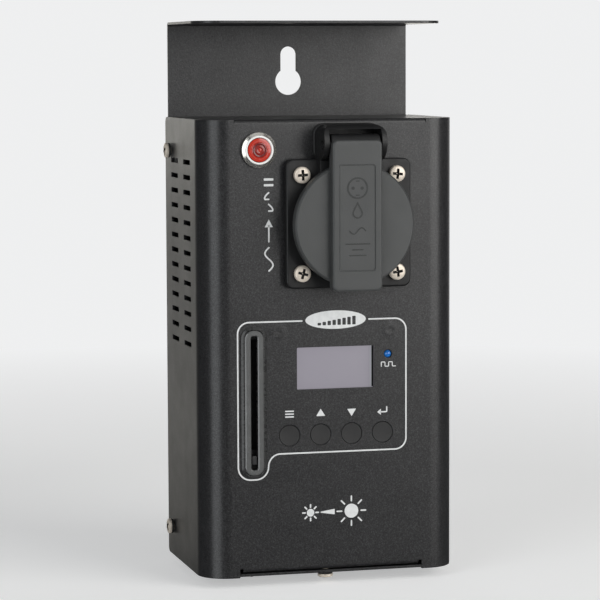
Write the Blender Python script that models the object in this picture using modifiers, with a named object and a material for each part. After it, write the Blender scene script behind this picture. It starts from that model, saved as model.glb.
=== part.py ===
"""Wall-hung dimmer pack: a bent sheet-steel box with a mains outlet, a lamp, a fader and four buttons.

Metres, +Z up. The origin is on the wall face of the back plate, centred on the width and half way up the
box. The front looks along -Y, and +X is to the right of someone who faces it.
"""

import math

import bmesh
import bpy

# Box
BODY_WIDTH = 0.103
BODY_DEPTH = 0.0656
BODY_HEIGHT = 0.178
CORNER_RADIUS = 0.0115
SHEET = 0.001
BEND_RADIUS = 0.0016
SIDE_EDGE_SETBACK = 0.0006
SIDE_EDGE_RADIUS = 0.0024
TOP_BEND_MARGIN = 0.0012
BOTTOM_BEND_MARGIN = 0.0044
RELIEF_WIDTH = 0.0013
TOP_RELIEF = 0.0004
BOTTOM_FLANGE_RISE = 0.0019
BOTTOM_FLANGE_DEPTH = 0.008

# Chassis
HOOD_RISE = 0.038
HOOD_DEPTH = 0.0535
HOOD_CORNER_RADIUS = 0.010
BOTTOM_PLATE_RISE = 0.0005
TAB_DEPTH = 0.016
TAB_HALF = 0.007
KEYHOLE_RISE = 0.0139
KEYHOLE_RADIUS = 0.00545
KEYHOLE_SLOT_HALF = 0.00325
KEYHOLE_TOP_RISE = 0.0282

# Clearances
FIT_GAP = 0.0003
SHEET_GAP = 0.0002
RUN_GAP = 0.0004
OVERLAP = 0.0005
CLEAR_OF_CUT = 0.002

# Vents
VENT_ROWS = 13
VENT_PITCH = 0.00595
VENT_DROP = 0.017
VENT_LENGTH = 0.0122
VENT_HEIGHT = 0.0019
VENT_REAR_Y = -0.0177
VENT_FRONT_Y = -0.0401

# Small machine screws
SHANK_RADIUS = 0.0015
SHANK_CHAMFER = 0.0004
SCREW_HEAD_RADIUS = 0.003
SCREW_HEAD_HEIGHT = 0.0023
WASHER_RADIUS = 0.0029
WASHER_HEIGHT = 0.0012
SIDE_SCREW_LENGTH = 0.006
RECESS_ARM = 0.0017
RECESS_WIDTH = 0.0011
RECESS_TIP_WIDTH = 0.0007
RECESS_DEPTH = 0.0014
SIDE_SCREW_Y = -0.0103
SIDE_SCREW_DROP = 0.0132
SIDE_SCREW_RISE = 0.012
BOTTOM_SCREW_X = -0.0015
BOTTOM_SCREW_SETBACK = 0.0045

# Outlet
SOCKET_X = 0.006
SOCKET_DROP = 0.04025
FLANGE_MARGIN = 0.0024
FLANGE_CORNER = 0.003
FLANGE_THICKNESS = 0.003
FLANGE_SCREW_INSET = 0.006
FLANGE_SCREW_HEAD_RADIUS = 0.00325
FLANGE_SCREW_LENGTH = 0.009
GASKET_THICKNESS = 0.001
GASKET_INSET = 0.0005
INSERT_WALL = 0.0019
COLLAR_WALL = 0.0008
COLLAR_HEIGHT = 0.004
WELL_RADIUS = 0.0196
WELL_DEPTH = 0.0175
INSERT_BLOCK_DEPTH = 0.020
CONTACT_PITCH = 0.019
CONTACT_HOLE_RADIUS = 0.0029
CONTACT_BORE_RADIUS = 0.0025
CONTACT_WALL = 0.0009
CONTACT_LENGTH = 0.0137
TAIL_WIDTH = 0.004
TAIL_THICKNESS = 0.0008
TAIL_LENGTH = 0.006
EARTH_WIDTH = 0.0054
EARTH_THICKNESS = 0.001
EARTH_INSET = 0.0016
EARTH_BUMP = 0.0008
GUIDE_RIB_HEIGHT = 0.0022
GUIDE_RIB_WIDTH = 0.0052

# Outlet lid and its hinge
HOUSING_SIDE_GAP = 0.0006
HOUSING_WALL = 0.002
HOUSING_RISE = 0.0134
HOUSING_PROUD = 0.015
HOUSING_CORNER = 0.003
HOUSING_NOSE_RADIUS = 0.0065
HOUSING_BACK_WALL = 0.0022
HOUSING_TOP_WALL = 0.0014
APRON_DROP = 0.011
PIN_RADIUS = 0.0015
PIN_RISE = 0.00555
PIN_PROUD = 0.0115
KNUCKLE_RADIUS = 0.0042
KNUCKLE_GAP_HALF = 0.0046
LID_RADIUS = 0.02375
LID_THICKNESS = 0.0027
LID_SKIRT_WALL = 0.00105
LID_CHAMFER = 0.0007
SEAL_THICKNESS = 0.0015
SEAL_WIDTH = 0.0024
STRAP_HALF = 0.0099
STRAP_TOP = 0.0322
STRAP_BOTTOM = -0.0254
STRAP_THICKNESS = 0.005
STRAP_SINK = 0.0014
STRAP_CORNER = 0.0022
STRAP_BEVEL = 0.0009
PANEL_WIDTH = 0.0144
PANEL_TOP = 0.02315
PANEL_BOTTOM = -0.01755
PANEL_DEPTH = 0.0003
PANEL_CORNER = 0.0006
SPRING_RADIUS = 0.0025
SPRING_WIRE_RADIUS = 0.00045
SPRING_TURNS = 5
SPRING_POINTS_PER_TURN = 8
SPRING_POCKET_RADIUS = 0.0034
SPRING_LEG = 0.001

# Lamp
LAMP_SIDE_INSET = 0.0226
LAMP_DROP = 0.0116
LAMP_BEZEL_RADIUS = 0.0069
LAMP_BEZEL_HEIGHT = 0.002
LAMP_BARREL_RADIUS = 0.0058
LAMP_BORE_RADIUS = 0.0049
LAMP_BARREL_LENGTH = 0.014
LAMP_LENS_DEPTH = 0.006
LAMP_LENS_DOME = 0.0008
LAMP_NUT_THICKNESS = 0.003
LAMP_NUT_RADIUS = 0.0085
LAMP_HOLDER_LENGTH = 0.010
LAMP_TAG_LENGTH = 0.005

# Fader
FADER_SIDE_INSET = 0.0205
FADER_Z = -0.02045
FADER_TRAVEL = 0.045
SLOT_WIDTH = 0.0029
SLOT_LENGTH = 0.0523
SLOT_CORNER = 0.0009
SLOT_SWELL_WIDTH = 0.0036
SLOT_SWELL_LENGTH = 0.010
LEVER_WIDTH = 0.0022
LEVER_HEIGHT = 0.0035
LEVER_PROUD = 0.0003
RIM_WIDTH = 0.0071
RIM_LENGTH = 0.0563
RIM_CORNER = 0.0032
RIM_PROUD = 0.0017
BEZEL_WIDTH = 0.0103
BEZEL_LENGTH = 0.0594
BEZEL_CORNER = 0.0048
BEZEL_THICKNESS = 0.0006
SPIGOT_WIDTH = 0.0064
SPIGOT_LENGTH = 0.0556
FADER_BODY_WIDTH = 0.0092
FADER_BODY_LENGTH = 0.075
FADER_BODY_DEPTH = 0.007
FADER_BODY_WALL = 0.0009
CARRIAGE_LENGTH = 0.0076
CARRIAGE_WIDTH = 0.006

# Display, signal light, buttons and control board
WINDOW_X = 0.0017
WINDOW_Z = -0.0077
WINDOW_WIDTH = 0.031
WINDOW_HEIGHT = 0.0164
WINDOW_CORNER = 0.0004
GLASS_DEPTH = 0.0034
GLASS_MARGIN = 0.0015
GLASS_THICKNESS = 0.001
DISPLAY_MARGIN = 0.0032
BOARD_DEPTH = 0.0075
BOARD_THICKNESS = 0.0016
BOARD_FADER_GAP = 0.0008
STUD_RADIUS = 0.0025
STUD_PIN_RADIUS = 0.0014
STUD_PIN_LENGTH = 0.0036
STUD_LEFT_INSET = 0.0027
STUD_RIGHT_INSET = 0.0037
STUD_TOP_INSET = 0.003
STUD_BOTTOM_INSET = 0.0034
STUD_WINDOW_GAP = 0.0063
STUD_BUTTON_GAP = 0.00379
STUD_BUTTON_DROP = 0.007
LED_WINDOW_GAP = 0.0058
LED_Z = -0.003
LED_RADIUS = 0.0015
LED_RIM_RADIUS = 0.0019
LED_PROUD = 0.0006
BUTTON_X = 0.0019
BUTTON_Z = -0.0338
BUTTON_COUNT = 4
BUTTON_PITCH = 0.01254
BUTTON_RADIUS = 0.00405
BUTTON_LIP_RADIUS = 0.0049
BUTTON_LIP_THICKNESS = 0.0009
BUTTON_BEVEL = 0.0003
BUTTON_TRAVEL = 0.0005
PLUNGER_RADIUS = 0.0016
PLUNGER_LENGTH = 0.0025
SWITCH_SIZE = 0.006
SWITCH_HEIGHT = 0.0033

# Power board and what stands on it
POWER_BOARD_SIDE_GAP = 0.0105
POWER_BOARD_TOP = 0.06
POWER_BOARD_BOTTOM = -0.056
POWER_BOARD_RISE = 0.006
POWER_STUD_SIDE_INSET = 0.005
POWER_STUD_END_INSET = 0.006
HEAT_SINK_SIDE_INSET = 0.003
HEAT_SINK_TOP_GAP = 0.006
HEAT_SINK_BOTTOM_GAP = 0.018
HEAT_SINK_WIDTH = 0.018
HEAT_SINK_HEIGHT = 0.020
HEAT_SINK_BASE = 0.003
FIN_COUNT = 5
FIN_THICKNESS = 0.0014
TRANSISTOR_WIDTH = 0.010
TRANSISTOR_HEIGHT = 0.0155
TRANSISTOR_THICKNESS = 0.0045
TRANSISTOR_Z = (0.022, -0.008)
CHOKE_X = 0.018
CHOKE_GAP = 0.006
CHOKE_RADIUS = 0.0145
CHOKE_BORE_RADIUS = 0.0055
CHOKE_HEIGHT = 0.013
CAPACITOR_X = 0.014
CAPACITOR_GAP = 0.014
CAPACITOR_WIDTH = 0.026
CAPACITOR_THICKNESS = 0.011
CAPACITOR_HEIGHT = 0.018
TERMINAL_X = 0.012
TERMINAL_INSET = 0.009
TERMINAL_WIDTH = 0.030
TERMINAL_DEPTH = 0.009
TERMINAL_HEIGHT = 0.011
TERMINAL_WAYS = 4

# Connectors in the bottom plate
CONNECTOR_SETBACK = 0.0326
CONNECTOR_SPACING = (4.8, 5.5, 3.5, 3.8)
CONTROL_FLANGE_WIDTH = 0.026
CONTROL_FLANGE_LENGTH = 0.031
CONTROL_FLANGE_THICKNESS = 0.0018
CONTROL_FLANGE_CORNER = 0.003
CONTROL_BARREL_RADIUS = 0.0117
CONTROL_BARREL_LENGTH = 0.023
CONTROL_BORE_RADIUS = 0.0094
CONTROL_BORE_DEPTH = 0.0155
CONTROL_SCREW_X = 0.0095
CONTROL_SCREW_Y = 0.012
CONTROL_PIN_RADIUS = 0.0012
CONTROL_PIN_SPREAD = 0.0046
CONTROL_PIN_RECESS = 0.002
CONTROL_NOSE_RADIUS = 0.0081
CONTROL_SOCKET_RADIUS = 0.0014
LATCH_WIDTH = 0.0056
LATCH_LENGTH = 0.002
LATCH_DEPTH = 0.008
LATCH_TRAVEL = 0.001
CONNECTOR_SCREW_HEAD_RADIUS = 0.0026
CONNECTOR_SCREW_HEAD_HEIGHT = 0.0017
CONNECTOR_SCREW_LENGTH = 0.007
INLET_FLANGE_WIDTH = 0.031
INLET_FLANGE_LENGTH = 0.050
INLET_FLANGE_THICKNESS = 0.002
INLET_FLANGE_CORNER = 0.004
INLET_SCREW_PITCH = 0.040
INLET_BODY_WIDTH = 0.029
INLET_BODY_LENGTH = 0.028
INLET_BODY_DEPTH = 0.024
INLET_RECESS_X = -0.0045
INLET_RECESS_WIDTH = 0.0172
INLET_RECESS_LENGTH = 0.0244
INLET_RECESS_DEPTH = 0.0165
INLET_RECESS_CHAMFER = 0.0045
BLADE_WIDTH = 0.004
BLADE_THICKNESS = 0.002
BLADE_PITCH = 0.014
BLADE_RECESS = 0.003
DRAWER_X = 0.0093
DRAWER_WIDTH = 0.0076
DRAWER_LENGTH = 0.0236
DRAWER_DEPTH = 0.019
DRAWER_HEAD = 0.001
FUSE_RADIUS = 0.0026
FUSE_LENGTH = 0.020

# Roundness of turned pieces
ROUND_STEPS = 24
SMALL_STEPS = 12
ARC_STEPS = 6

# Places and sizes that follow from the ones above
TOP = BODY_HEIGHT / 2
BOTTOM = -BODY_HEIGHT / 2
HALF_WIDTH = BODY_WIDTH / 2
TOP_BEND_HALF = HALF_WIDTH - CORNER_RADIUS - TOP_BEND_MARGIN
BOTTOM_BEND_HALF = HALF_WIDTH - CORNER_RADIUS - BOTTOM_BEND_MARGIN
HOOD_TOP = TOP + HOOD_RISE
KEYHOLE_Z = TOP + KEYHOLE_RISE
KEYHOLE_TOP_Z = TOP + KEYHOLE_TOP_RISE
PLATE_HALF = HALF_WIDTH - SHEET - SHEET_GAP
BOTTOM_FACE = BOTTOM + BOTTOM_PLATE_RISE
VENT_TOP_Z = TOP - VENT_DROP
SHANK_HOLE_RADIUS = SHANK_RADIUS + FIT_GAP
SIDE_SCREW_UPPER_Z = TOP - SIDE_SCREW_DROP
SIDE_SCREW_LOWER_Z = BOTTOM + SIDE_SCREW_RISE

SOCKET_Z = TOP - SOCKET_DROP
FLANGE_BACK = FIT_GAP + GASKET_THICKNESS + FIT_GAP
FLANGE_FRONT = FLANGE_BACK + FLANGE_THICKNESS
INSERT_RADIUS = WELL_RADIUS + INSERT_WALL
EARTH_RADIUS = WELL_RADIUS - EARTH_INSET
COLLAR_FRONT = FLANGE_FRONT + COLLAR_HEIGHT
COLLAR_BORE_RADIUS = INSERT_RADIUS + FIT_GAP
COLLAR_RADIUS = COLLAR_BORE_RADIUS + COLLAR_WALL
FLANGE_SIZE = 2 * (COLLAR_RADIUS + FLANGE_MARGIN)
FLANGE_SCREW_PITCH = FLANGE_SIZE - 2 * FLANGE_SCREW_INSET
WELL_FLOOR = COLLAR_FRONT - WELL_DEPTH
INSERT_BACK = WELL_FLOOR - INSERT_BLOCK_DEPTH
PANEL_HOLE_RADIUS = INSERT_RADIUS + RUN_GAP + FIT_GAP
HOUSING_HALF = STRAP_HALF + HOUSING_SIDE_GAP + HOUSING_WALL
PIN_Y = FLANGE_SIZE / 2 + PIN_RISE
LID_BACK = COLLAR_FRONT + FIT_GAP + SEAL_THICKNESS + FIT_GAP
LID_FRONT = LID_BACK + LID_THICKNESS
STRAP_PROUD = LID_FRONT - STRAP_SINK + STRAP_THICKNESS

LAMP_X = -HALF_WIDTH + LAMP_SIDE_INSET
LAMP_Z = TOP - LAMP_DROP
FADER_X = -HALF_WIDTH + FADER_SIDE_INSET
LED_X = WINDOW_X + WINDOW_WIDTH / 2 + LED_WINDOW_GAP
BOARD_LEFT = FADER_X + FADER_BODY_WIDTH / 2 + BOARD_FADER_GAP
STUD_LEFT_X = BOARD_LEFT + STUD_LEFT_INSET
STUD_RIGHT_X = BUTTON_X + (BUTTON_COUNT - 1) / 2 * BUTTON_PITCH + STUD_BUTTON_GAP
STUD_TOP_Z = WINDOW_Z + WINDOW_HEIGHT / 2 + STUD_WINDOW_GAP
STUD_BOTTOM_Z = BUTTON_Z - STUD_BUTTON_DROP
BOARD_RIGHT = STUD_RIGHT_X + STUD_RIGHT_INSET
BOARD_TOP = STUD_TOP_Z + STUD_TOP_INSET
BOARD_BOTTOM = STUD_BOTTOM_Z - STUD_BOTTOM_INSET

POWER_BOARD_HALF_WIDTH = HALF_WIDTH - POWER_BOARD_SIDE_GAP
POWER_STUD_X = POWER_BOARD_HALF_WIDTH - POWER_STUD_SIDE_INSET
POWER_STUD_TOP_Z = POWER_BOARD_TOP - POWER_STUD_END_INSET
POWER_STUD_BOTTOM_Z = POWER_BOARD_BOTTOM + POWER_STUD_END_INSET
HEAT_SINK_TOP_Z = POWER_STUD_TOP_Z - HEAT_SINK_TOP_GAP
HEAT_SINK_BOTTOM_Z = POWER_STUD_BOTTOM_Z + HEAT_SINK_BOTTOM_GAP
HEAT_SINK_X = -POWER_BOARD_HALF_WIDTH + HEAT_SINK_SIDE_INSET + HEAT_SINK_WIDTH / 2
HEAT_SINK_Z = (HEAT_SINK_TOP_Z + HEAT_SINK_BOTTOM_Z) / 2
HEAT_SINK_LENGTH = HEAT_SINK_TOP_Z - HEAT_SINK_BOTTOM_Z
TERMINAL_Z = POWER_BOARD_BOTTOM + TERMINAL_INSET
CHOKE_Z = TERMINAL_Z + TERMINAL_DEPTH / 2 + CHOKE_GAP + CHOKE_RADIUS
CAPACITOR_Z = CHOKE_Z + CHOKE_RADIUS + CAPACITOR_GAP + CAPACITOR_THICKNESS / 2

CONNECTOR_Y = BODY_DEPTH - CONNECTOR_SETBACK
CONNECTOR_FREE_WIDTH = 2 * PLATE_HALF - INLET_FLANGE_WIDTH - 2 * CONTROL_FLANGE_WIDTH
CONNECTOR_GAPS = [CONNECTOR_FREE_WIDTH * share / sum(CONNECTOR_SPACING) for share in CONNECTOR_SPACING]
INLET_X = -PLATE_HALF + CONNECTOR_GAPS[0] + INLET_FLANGE_WIDTH / 2
CONTROL_IN_X = INLET_X + (INLET_FLANGE_WIDTH + CONTROL_FLANGE_WIDTH) / 2 + CONNECTOR_GAPS[1]
CONTROL_OUT_X = CONTROL_IN_X + CONTROL_FLANGE_WIDTH + CONNECTOR_GAPS[2]
LATCH_OFFSET = CONTROL_BARREL_RADIUS + RUN_GAP + LATCH_LENGTH / 2

PARTS = bpy.data.collections.new("dimmer_pack")
HELPERS = bpy.data.collections.new("cutters")


def clear_scene():
    """Empties the scene and adds the two collections."""
    for item in list(bpy.data.objects):
        bpy.data.objects.remove(item, do_unlink=True)
    bpy.context.scene.collection.children.link(PARTS)
    bpy.context.scene.collection.children.link(HELPERS)
    HELPERS.hide_render = True


def material(name, colour, roughness, metallic=0.0):
    """A plain Principled finish."""
    finish = bpy.data.materials.new(name)
    finish.use_nodes = True
    shader = finish.node_tree.nodes["Principled BSDF"]
    shader.inputs["Base Color"].default_value = (*colour, 1.0)
    shader.inputs["Roughness"].default_value = roughness
    shader.inputs["Metallic"].default_value = metallic
    return finish


def frame(name, location=(0, 0, 0), turn=(0, 0, 0), parent=None):
    """An empty that other pieces are placed on."""
    empty = bpy.data.objects.new(name, None)
    empty.location = location
    empty.rotation_euler = turn
    empty.parent = parent
    HELPERS.objects.link(empty)
    return empty


def put(name, mesh, on, location, turn, collection):
    """A new object in a collection, placed on a frame."""
    item = bpy.data.objects.new(name, mesh)
    item.location = location
    item.rotation_euler = turn
    item.parent = on
    collection.objects.link(item)
    return item


def part(name, mesh, finish, on=None, location=(0, 0, 0), turn=(0, 0, 0)):
    """A piece of the dimmer pack."""
    item = put(name, mesh, on, location, turn, PARTS)
    if not mesh.materials:
        mesh.materials.append(finish)
    mesh.shade_smooth()
    mesh.set_sharp_from_angle(angle=math.radians(35))
    return item


def helper(mesh, on=None, location=(0, 0, 0), turn=(0, 0, 0)):
    """A shape that is only cut away from a piece or joined to it."""
    item = put(mesh.name, mesh, on, location, turn, HELPERS)
    item.hide_render = True
    item.display_type = "WIRE"
    return item


def combine(target, operation, shapes):
    """Adds one Boolean for each shape."""
    for shape in shapes:
        modifier = target.modifiers.new(shape.name, "BOOLEAN")
        modifier.operation = operation
        modifier.solver = "EXACT"
        modifier.object = shape


def cut(target, *shapes):
    """Cuts the shapes from the target."""
    combine(target, "DIFFERENCE", shapes)


def join(target, *shapes):
    """Joins the shapes to the target."""
    combine(target, "UNION", shapes)


def bevel(target, width, steps=2, angle=50):
    """Rounds the target's sharp edges."""
    modifier = target.modifiers.new("bevel", "BEVEL")
    modifier.width = width
    modifier.segments = steps
    modifier.limit_method = "ANGLE"
    modifier.angle_limit = math.radians(angle)


def mesh_from(name, builder):
    """A mesh filled by a bmesh builder."""
    work = bmesh.new()
    builder(work)
    mesh = bpy.data.meshes.new(name)
    work.to_mesh(mesh)
    work.free()
    return mesh


def baked(item, name):
    """The item's mesh with its modifiers applied; the item is removed."""
    bpy.context.view_layer.update()
    graph = bpy.context.evaluated_depsgraph_get()
    mesh = bpy.data.meshes.new_from_object(item.evaluated_get(graph))
    mesh.name = name
    bpy.data.objects.remove(item, do_unlink=True)
    return mesh


def box(name, low, high):
    """A box between two corners."""

    def build(work):
        made = bmesh.ops.create_cube(work, size=1.0)["verts"]
        bmesh.ops.scale(work, vec=[b - a for a, b in zip(low, high)], verts=made)
        bmesh.ops.translate(work, vec=[(a + b) / 2 for a, b in zip(low, high)], verts=made)

    return mesh_from(name, build)


def cylinder(name, radius, low, high, steps=SMALL_STEPS):
    """A cylinder along Z between two heights."""

    def build(work):
        made = bmesh.ops.create_cone(
            work, cap_ends=True, segments=steps, radius1=radius, radius2=radius, depth=high - low
        )["verts"]
        bmesh.ops.translate(work, vec=(0, 0, (low + high) / 2), verts=made)

    return mesh_from(name, build)


def turned(name, profile, steps=ROUND_STEPS):
    """A profile of (radius, height) points turned round Z, from its top down its outer side."""
    lines = bpy.data.meshes.new(name)
    closed = profile[0] == profile[-1]
    points = profile[:-1] if closed else profile
    edges = [(i, i + 1) for i in range(len(points) - 1)]
    if closed:
        edges.append((len(points) - 1, 0))
    lines.from_pydata([(radius, 0, height) for radius, height in points], edges, [])
    item = helper(lines)
    screw = item.modifiers.new("turn", "SCREW")
    screw.steps = steps
    screw.render_steps = steps
    screw.use_merge_vertices = True
    screw.merge_threshold = 1e-7
    return baked(item, name)


def plate(name, outlines, low, high):
    """A flat outline, with its holes, as thick as the heights are apart."""
    curve = bpy.data.curves.new(name, "CURVE")
    curve.dimensions = "2D"
    curve.fill_mode = "BOTH"
    curve.extrude = (high - low) / 2
    for outline in outlines:
        spline = curve.splines.new("POLY")
        spline.points.add(len(outline) - 1)
        for point, (x, y) in zip(spline.points, outline):
            point.co = (x, y, 0, 1)
        spline.use_cyclic_u = True
    mesh = baked(helper(curve), name)
    work = bmesh.new()
    work.from_mesh(mesh)
    bmesh.ops.remove_doubles(work, verts=work.verts, dist=1e-7)
    bmesh.ops.translate(work, vec=(0, 0, (low + high) / 2), verts=work.verts)
    bmesh.ops.recalc_face_normals(work, faces=work.faces)
    work.to_mesh(mesh)
    work.free()
    return mesh


def tube(name, points, radius):
    """A round wire through the points."""
    curve = bpy.data.curves.new(name, "CURVE")
    curve.dimensions = "3D"
    curve.bevel_depth = radius
    curve.bevel_resolution = 1
    curve.use_fill_caps = True
    spline = curve.splines.new("POLY")
    spline.points.add(len(points) - 1)
    for point, place in zip(spline.points, points):
        point.co = (*place, 1)
    return curve


def arc(centre, radius, start, end, steps=ARC_STEPS):
    """Points along an arc, in degrees."""
    angles = [math.radians(start + (end - start) * i / steps) for i in range(steps + 1)]
    return [(centre[0] + radius * math.cos(a), centre[1] + radius * math.sin(a)) for a in angles]


def circle(centre, radius, steps=SMALL_STEPS):
    """A closed ring of points."""
    return arc(centre, radius, 0, 360, steps)[:-1]


def rounded(width, height, radius, centre=(0, 0), steps=4):
    """A rectangle with round corners, anticlockwise."""
    x = width / 2 - radius
    y = height / 2 - radius
    points = []
    for start, sign_x, sign_y in ((0, 1, 1), (90, -1, 1), (180, -1, -1), (270, 1, -1)):
        corner = (centre[0] + sign_x * x, centre[1] + sign_y * y)
        points += arc(corner, radius, start, start + 90, steps)
    return points


def rectangle(width, height, centre=(0, 0)):
    """A rectangle's four corners, anticlockwise."""
    x, y = width / 2, height / 2
    return [(centre[0] + a * x, centre[1] + b * y) for a, b in ((1, 1), (-1, 1), (-1, -1), (1, -1))]


def ellipse(width, height, centre, steps=ROUND_STEPS):
    """A closed ellipse of points."""
    ring = circle((0, 0), 1.0, steps)
    return [(centre[0] + x * width / 2, centre[1] + y * height / 2) for x, y in ring]


def screw_mesh(name, head_radius, head_height, length, washer=False):
    """A cross-recess pan head screw, seated at height 0, with its shank below."""
    seat = WASHER_HEIGHT if washer else 0.0
    top = seat + head_height
    profile = [
        (0, top),
        (head_radius * 0.7, top - head_height * 0.14),
        (head_radius, top - head_height * 0.6),
        (head_radius, seat),
    ]
    if washer:
        profile += [(WASHER_RADIUS, seat), (WASHER_RADIUS, 0)]
    profile += [
        (SHANK_RADIUS, 0),
        (SHANK_RADIUS, -length + SHANK_CHAMFER),
        (SHANK_RADIUS - SHANK_CHAMFER, -length),
        (0, -length),
    ]
    arm = RECESS_ARM
    half = RECESS_WIDTH / 2
    tip = RECESS_TIP_WIDTH / 2
    quarter = [(arm, -tip), (arm, tip), (half, half)]
    cross = []
    for turn in range(4):
        for x, y in quarter:
            for _ in range(turn):
                x, y = -y, x
            cross.append((x, y))
    item = helper(turned(name + "_blank", profile, SMALL_STEPS))
    recess = helper(plate(name + "_recess", [cross], top - RECESS_DEPTH, top + OVERLAP))
    cut(item, recess)
    mesh = baked(item, name)
    bpy.data.objects.remove(recess, do_unlink=True)
    return mesh


FRONT_TURN = (math.pi / 2, 0, 0)
SIDE_TURN = (math.pi / 2, 0, math.pi / 2)
UNDER_TURN = (math.pi, 0, 0)


def make_frames():
    """Working views: x right and y up on the front, and z towards the reader."""
    views = {
        "front": frame("front_view", (0, -BODY_DEPTH, 0), FRONT_TURN),
        "back": frame("back_view", (0, -SHEET, 0), FRONT_TURN),
        "side": frame("side_view", (0, 0, 0), SIDE_TURN),
        "under": frame("under_view", (0, 0, BOTTOM_FACE), UNDER_TURN),
    }
    front = views["front"]
    views["socket"] = frame("socket_axis", (SOCKET_X, SOCKET_Z, 0), parent=front)
    views["hinge"] = frame("lid_hinge_axis", (0, PIN_Y, PIN_PROUD), parent=views["socket"])
    views["lamp"] = frame("lamp_axis", (LAMP_X, LAMP_Z, 0), parent=front)
    views["fader"] = frame("fader_axis", (FADER_X, FADER_Z, 0), parent=front)
    views["control_in"] = frame("control_in_axis", (CONTROL_IN_X, CONNECTOR_Y, 0), parent=views["under"])
    views["control_out"] = frame("control_out_axis", (CONTROL_OUT_X, CONNECTOR_Y, 0), parent=views["under"])
    views["inlet"] = frame("inlet_axis", (INLET_X, CONNECTOR_Y, 0), parent=views["under"])
    return views


def make_finishes():
    """The finishes, one for each kind of surface."""
    return {
        "coat": material("black_powder_coat", (0.030, 0.030, 0.031), 0.55),
        "moulding": material("black_moulding", (0.045, 0.046, 0.048), 0.45),
        "lid": material("lid_moulding", (0.060, 0.062, 0.066), 0.42),
        "rubber": material("black_rubber", (0.020, 0.020, 0.020), 0.8),
        "nickel": material("nickel_plate", (0.78, 0.72, 0.64), 0.25, 1.0),
        "chrome": material("chrome", (0.80, 0.80, 0.80), 0.1, 1.0),
        "lens": material("red_lens", (0.45, 0.02, 0.02), 0.15),
        "glass": material("display_glass", (0.28, 0.27, 0.31), 0.12),
        "signal": material("blue_light", (0.02, 0.10, 0.55), 0.2),
        "button": material("button_cap", (0.025, 0.025, 0.026), 0.6),
        "board": material("circuit_board", (0.02, 0.16, 0.07), 0.5),
        "brass": material("brass", (0.72, 0.52, 0.22), 0.3, 1.0),
        "aluminium": material("aluminium", (0.70, 0.71, 0.72), 0.4, 1.0),
        "winding": material("copper_winding", (0.62, 0.28, 0.12), 0.35, 1.0),
        "film": material("capacitor_case", (0.55, 0.42, 0.10), 0.5),
        "terminal": material("terminal_green", (0.05, 0.30, 0.14), 0.5),
        "steel": material("spring_steel", (0.60, 0.60, 0.62), 0.3, 1.0),
        "fuse": material("fuse_glass", (0.75, 0.80, 0.80), 0.1),
    }


def wrap_outline():
    """Plan of the wrap: down the left side, round both front corners and back up the right side."""

    def wall(inset):
        radius = CORNER_RADIUS - inset
        x = HALF_WIDTH - CORNER_RADIUS
        y = -BODY_DEPTH + CORNER_RADIUS
        rim = HALF_WIDTH - inset
        left = arc((-x, y), radius, 180, 270)
        right = arc((x, y), radius, 270, 360)
        return [(-rim, -SIDE_EDGE_SETBACK)] + left + right + [(rim, -SIDE_EDGE_SETBACK)]

    return wall(0) + wall(SHEET)[::-1]


def plan_outline(inset, rear):
    """Plan of a plate that lies inside the wrap, with the same round front corners."""
    radius = CORNER_RADIUS - inset
    x = HALF_WIDTH - CORNER_RADIUS
    y = -BODY_DEPTH + CORNER_RADIUS
    rim = HALF_WIDTH - inset
    return (
        [(-rim, rear)] + arc((-x, y), radius, 180, 270) + arc((x, y), radius, 270, 360) + [(rim, rear)]
    )


def bend_outline(edge, inward, run, leg):
    """Section of a bend between the front sheet and a flange, as (depth, height) points.

    The flange's outer face is at the height edge, inward is +1 or -1 from it towards the box's middle, run is
    how far the flange goes back from the front face, and leg is how far the front leg goes past the bend.
    """
    front = -BODY_DEPTH
    outer = BEND_RADIUS
    inner = BEND_RADIUS - SHEET
    centre = (front + outer, edge + inward * outer)
    end = edge + inward * (outer + leg)
    start = 90 if inward < 0 else 270
    outer_arc = arc(centre, outer, start, 180)
    inner_arc = arc(centre, inner, 180, start)
    return (
        [(front + run, edge)]
        + outer_arc
        + [(front, end), (front + SHEET, end)]
        + inner_arc
        + [(front + run, edge + inward * SHEET)]
    )


def corner_cutter(name, x, y, radius, low, high, side, edge_drop=0.0):
    """A block with a concave quarter round: it rounds a plate's front corner in plan."""
    margin = CLEAR_OF_CUT
    edge = y - edge_drop
    points = arc((x - radius, y + radius), radius, 270, 360)
    points += [(x + margin, y + radius), (x + margin, edge - margin), (x - radius, edge - margin)]
    return helper(plate(name, [[(side * px, py) for px, py in points]], low, high))


def vent_outlines():
    """All the vent slots of a side, as (depth, height) outlines."""
    outlines = []
    for middle in (VENT_REAR_Y, VENT_FRONT_Y):
        for row in range(VENT_ROWS):
            centre = (middle, VENT_TOP_Z - row * VENT_PITCH)
            outlines.append(rectangle(VENT_LENGTH, VENT_HEIGHT, centre))
    return outlines


def button_places():
    """Each button's place on the front, left to right."""
    middle = (BUTTON_COUNT - 1) / 2
    return [(BUTTON_X + (i - middle) * BUTTON_PITCH, BUTTON_Z) for i in range(BUTTON_COUNT)]


def flange_screw_places():
    """The outlet's four screws, from its centre."""
    half = FLANGE_SCREW_PITCH / 2
    return [(-half, half), (half, half), (half, -half), (-half, -half)]


def side_screw_places():
    """The side screws as (name, side, height)."""
    heights = (("upper", SIDE_SCREW_UPPER_Z), ("lower", SIDE_SCREW_LOWER_Z))
    sides = (("left", -1), ("right", 1))
    return [(f"{side}_{level}", sign, z) for side, sign in sides for level, z in heights]


def side_screw_holes():
    """The side screws' holes, as (depth, height) outlines."""
    heights = (SIDE_SCREW_UPPER_Z, SIDE_SCREW_LOWER_Z)
    return [circle((SIDE_SCREW_Y, z), SHANK_HOLE_RADIUS) for z in heights]


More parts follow.
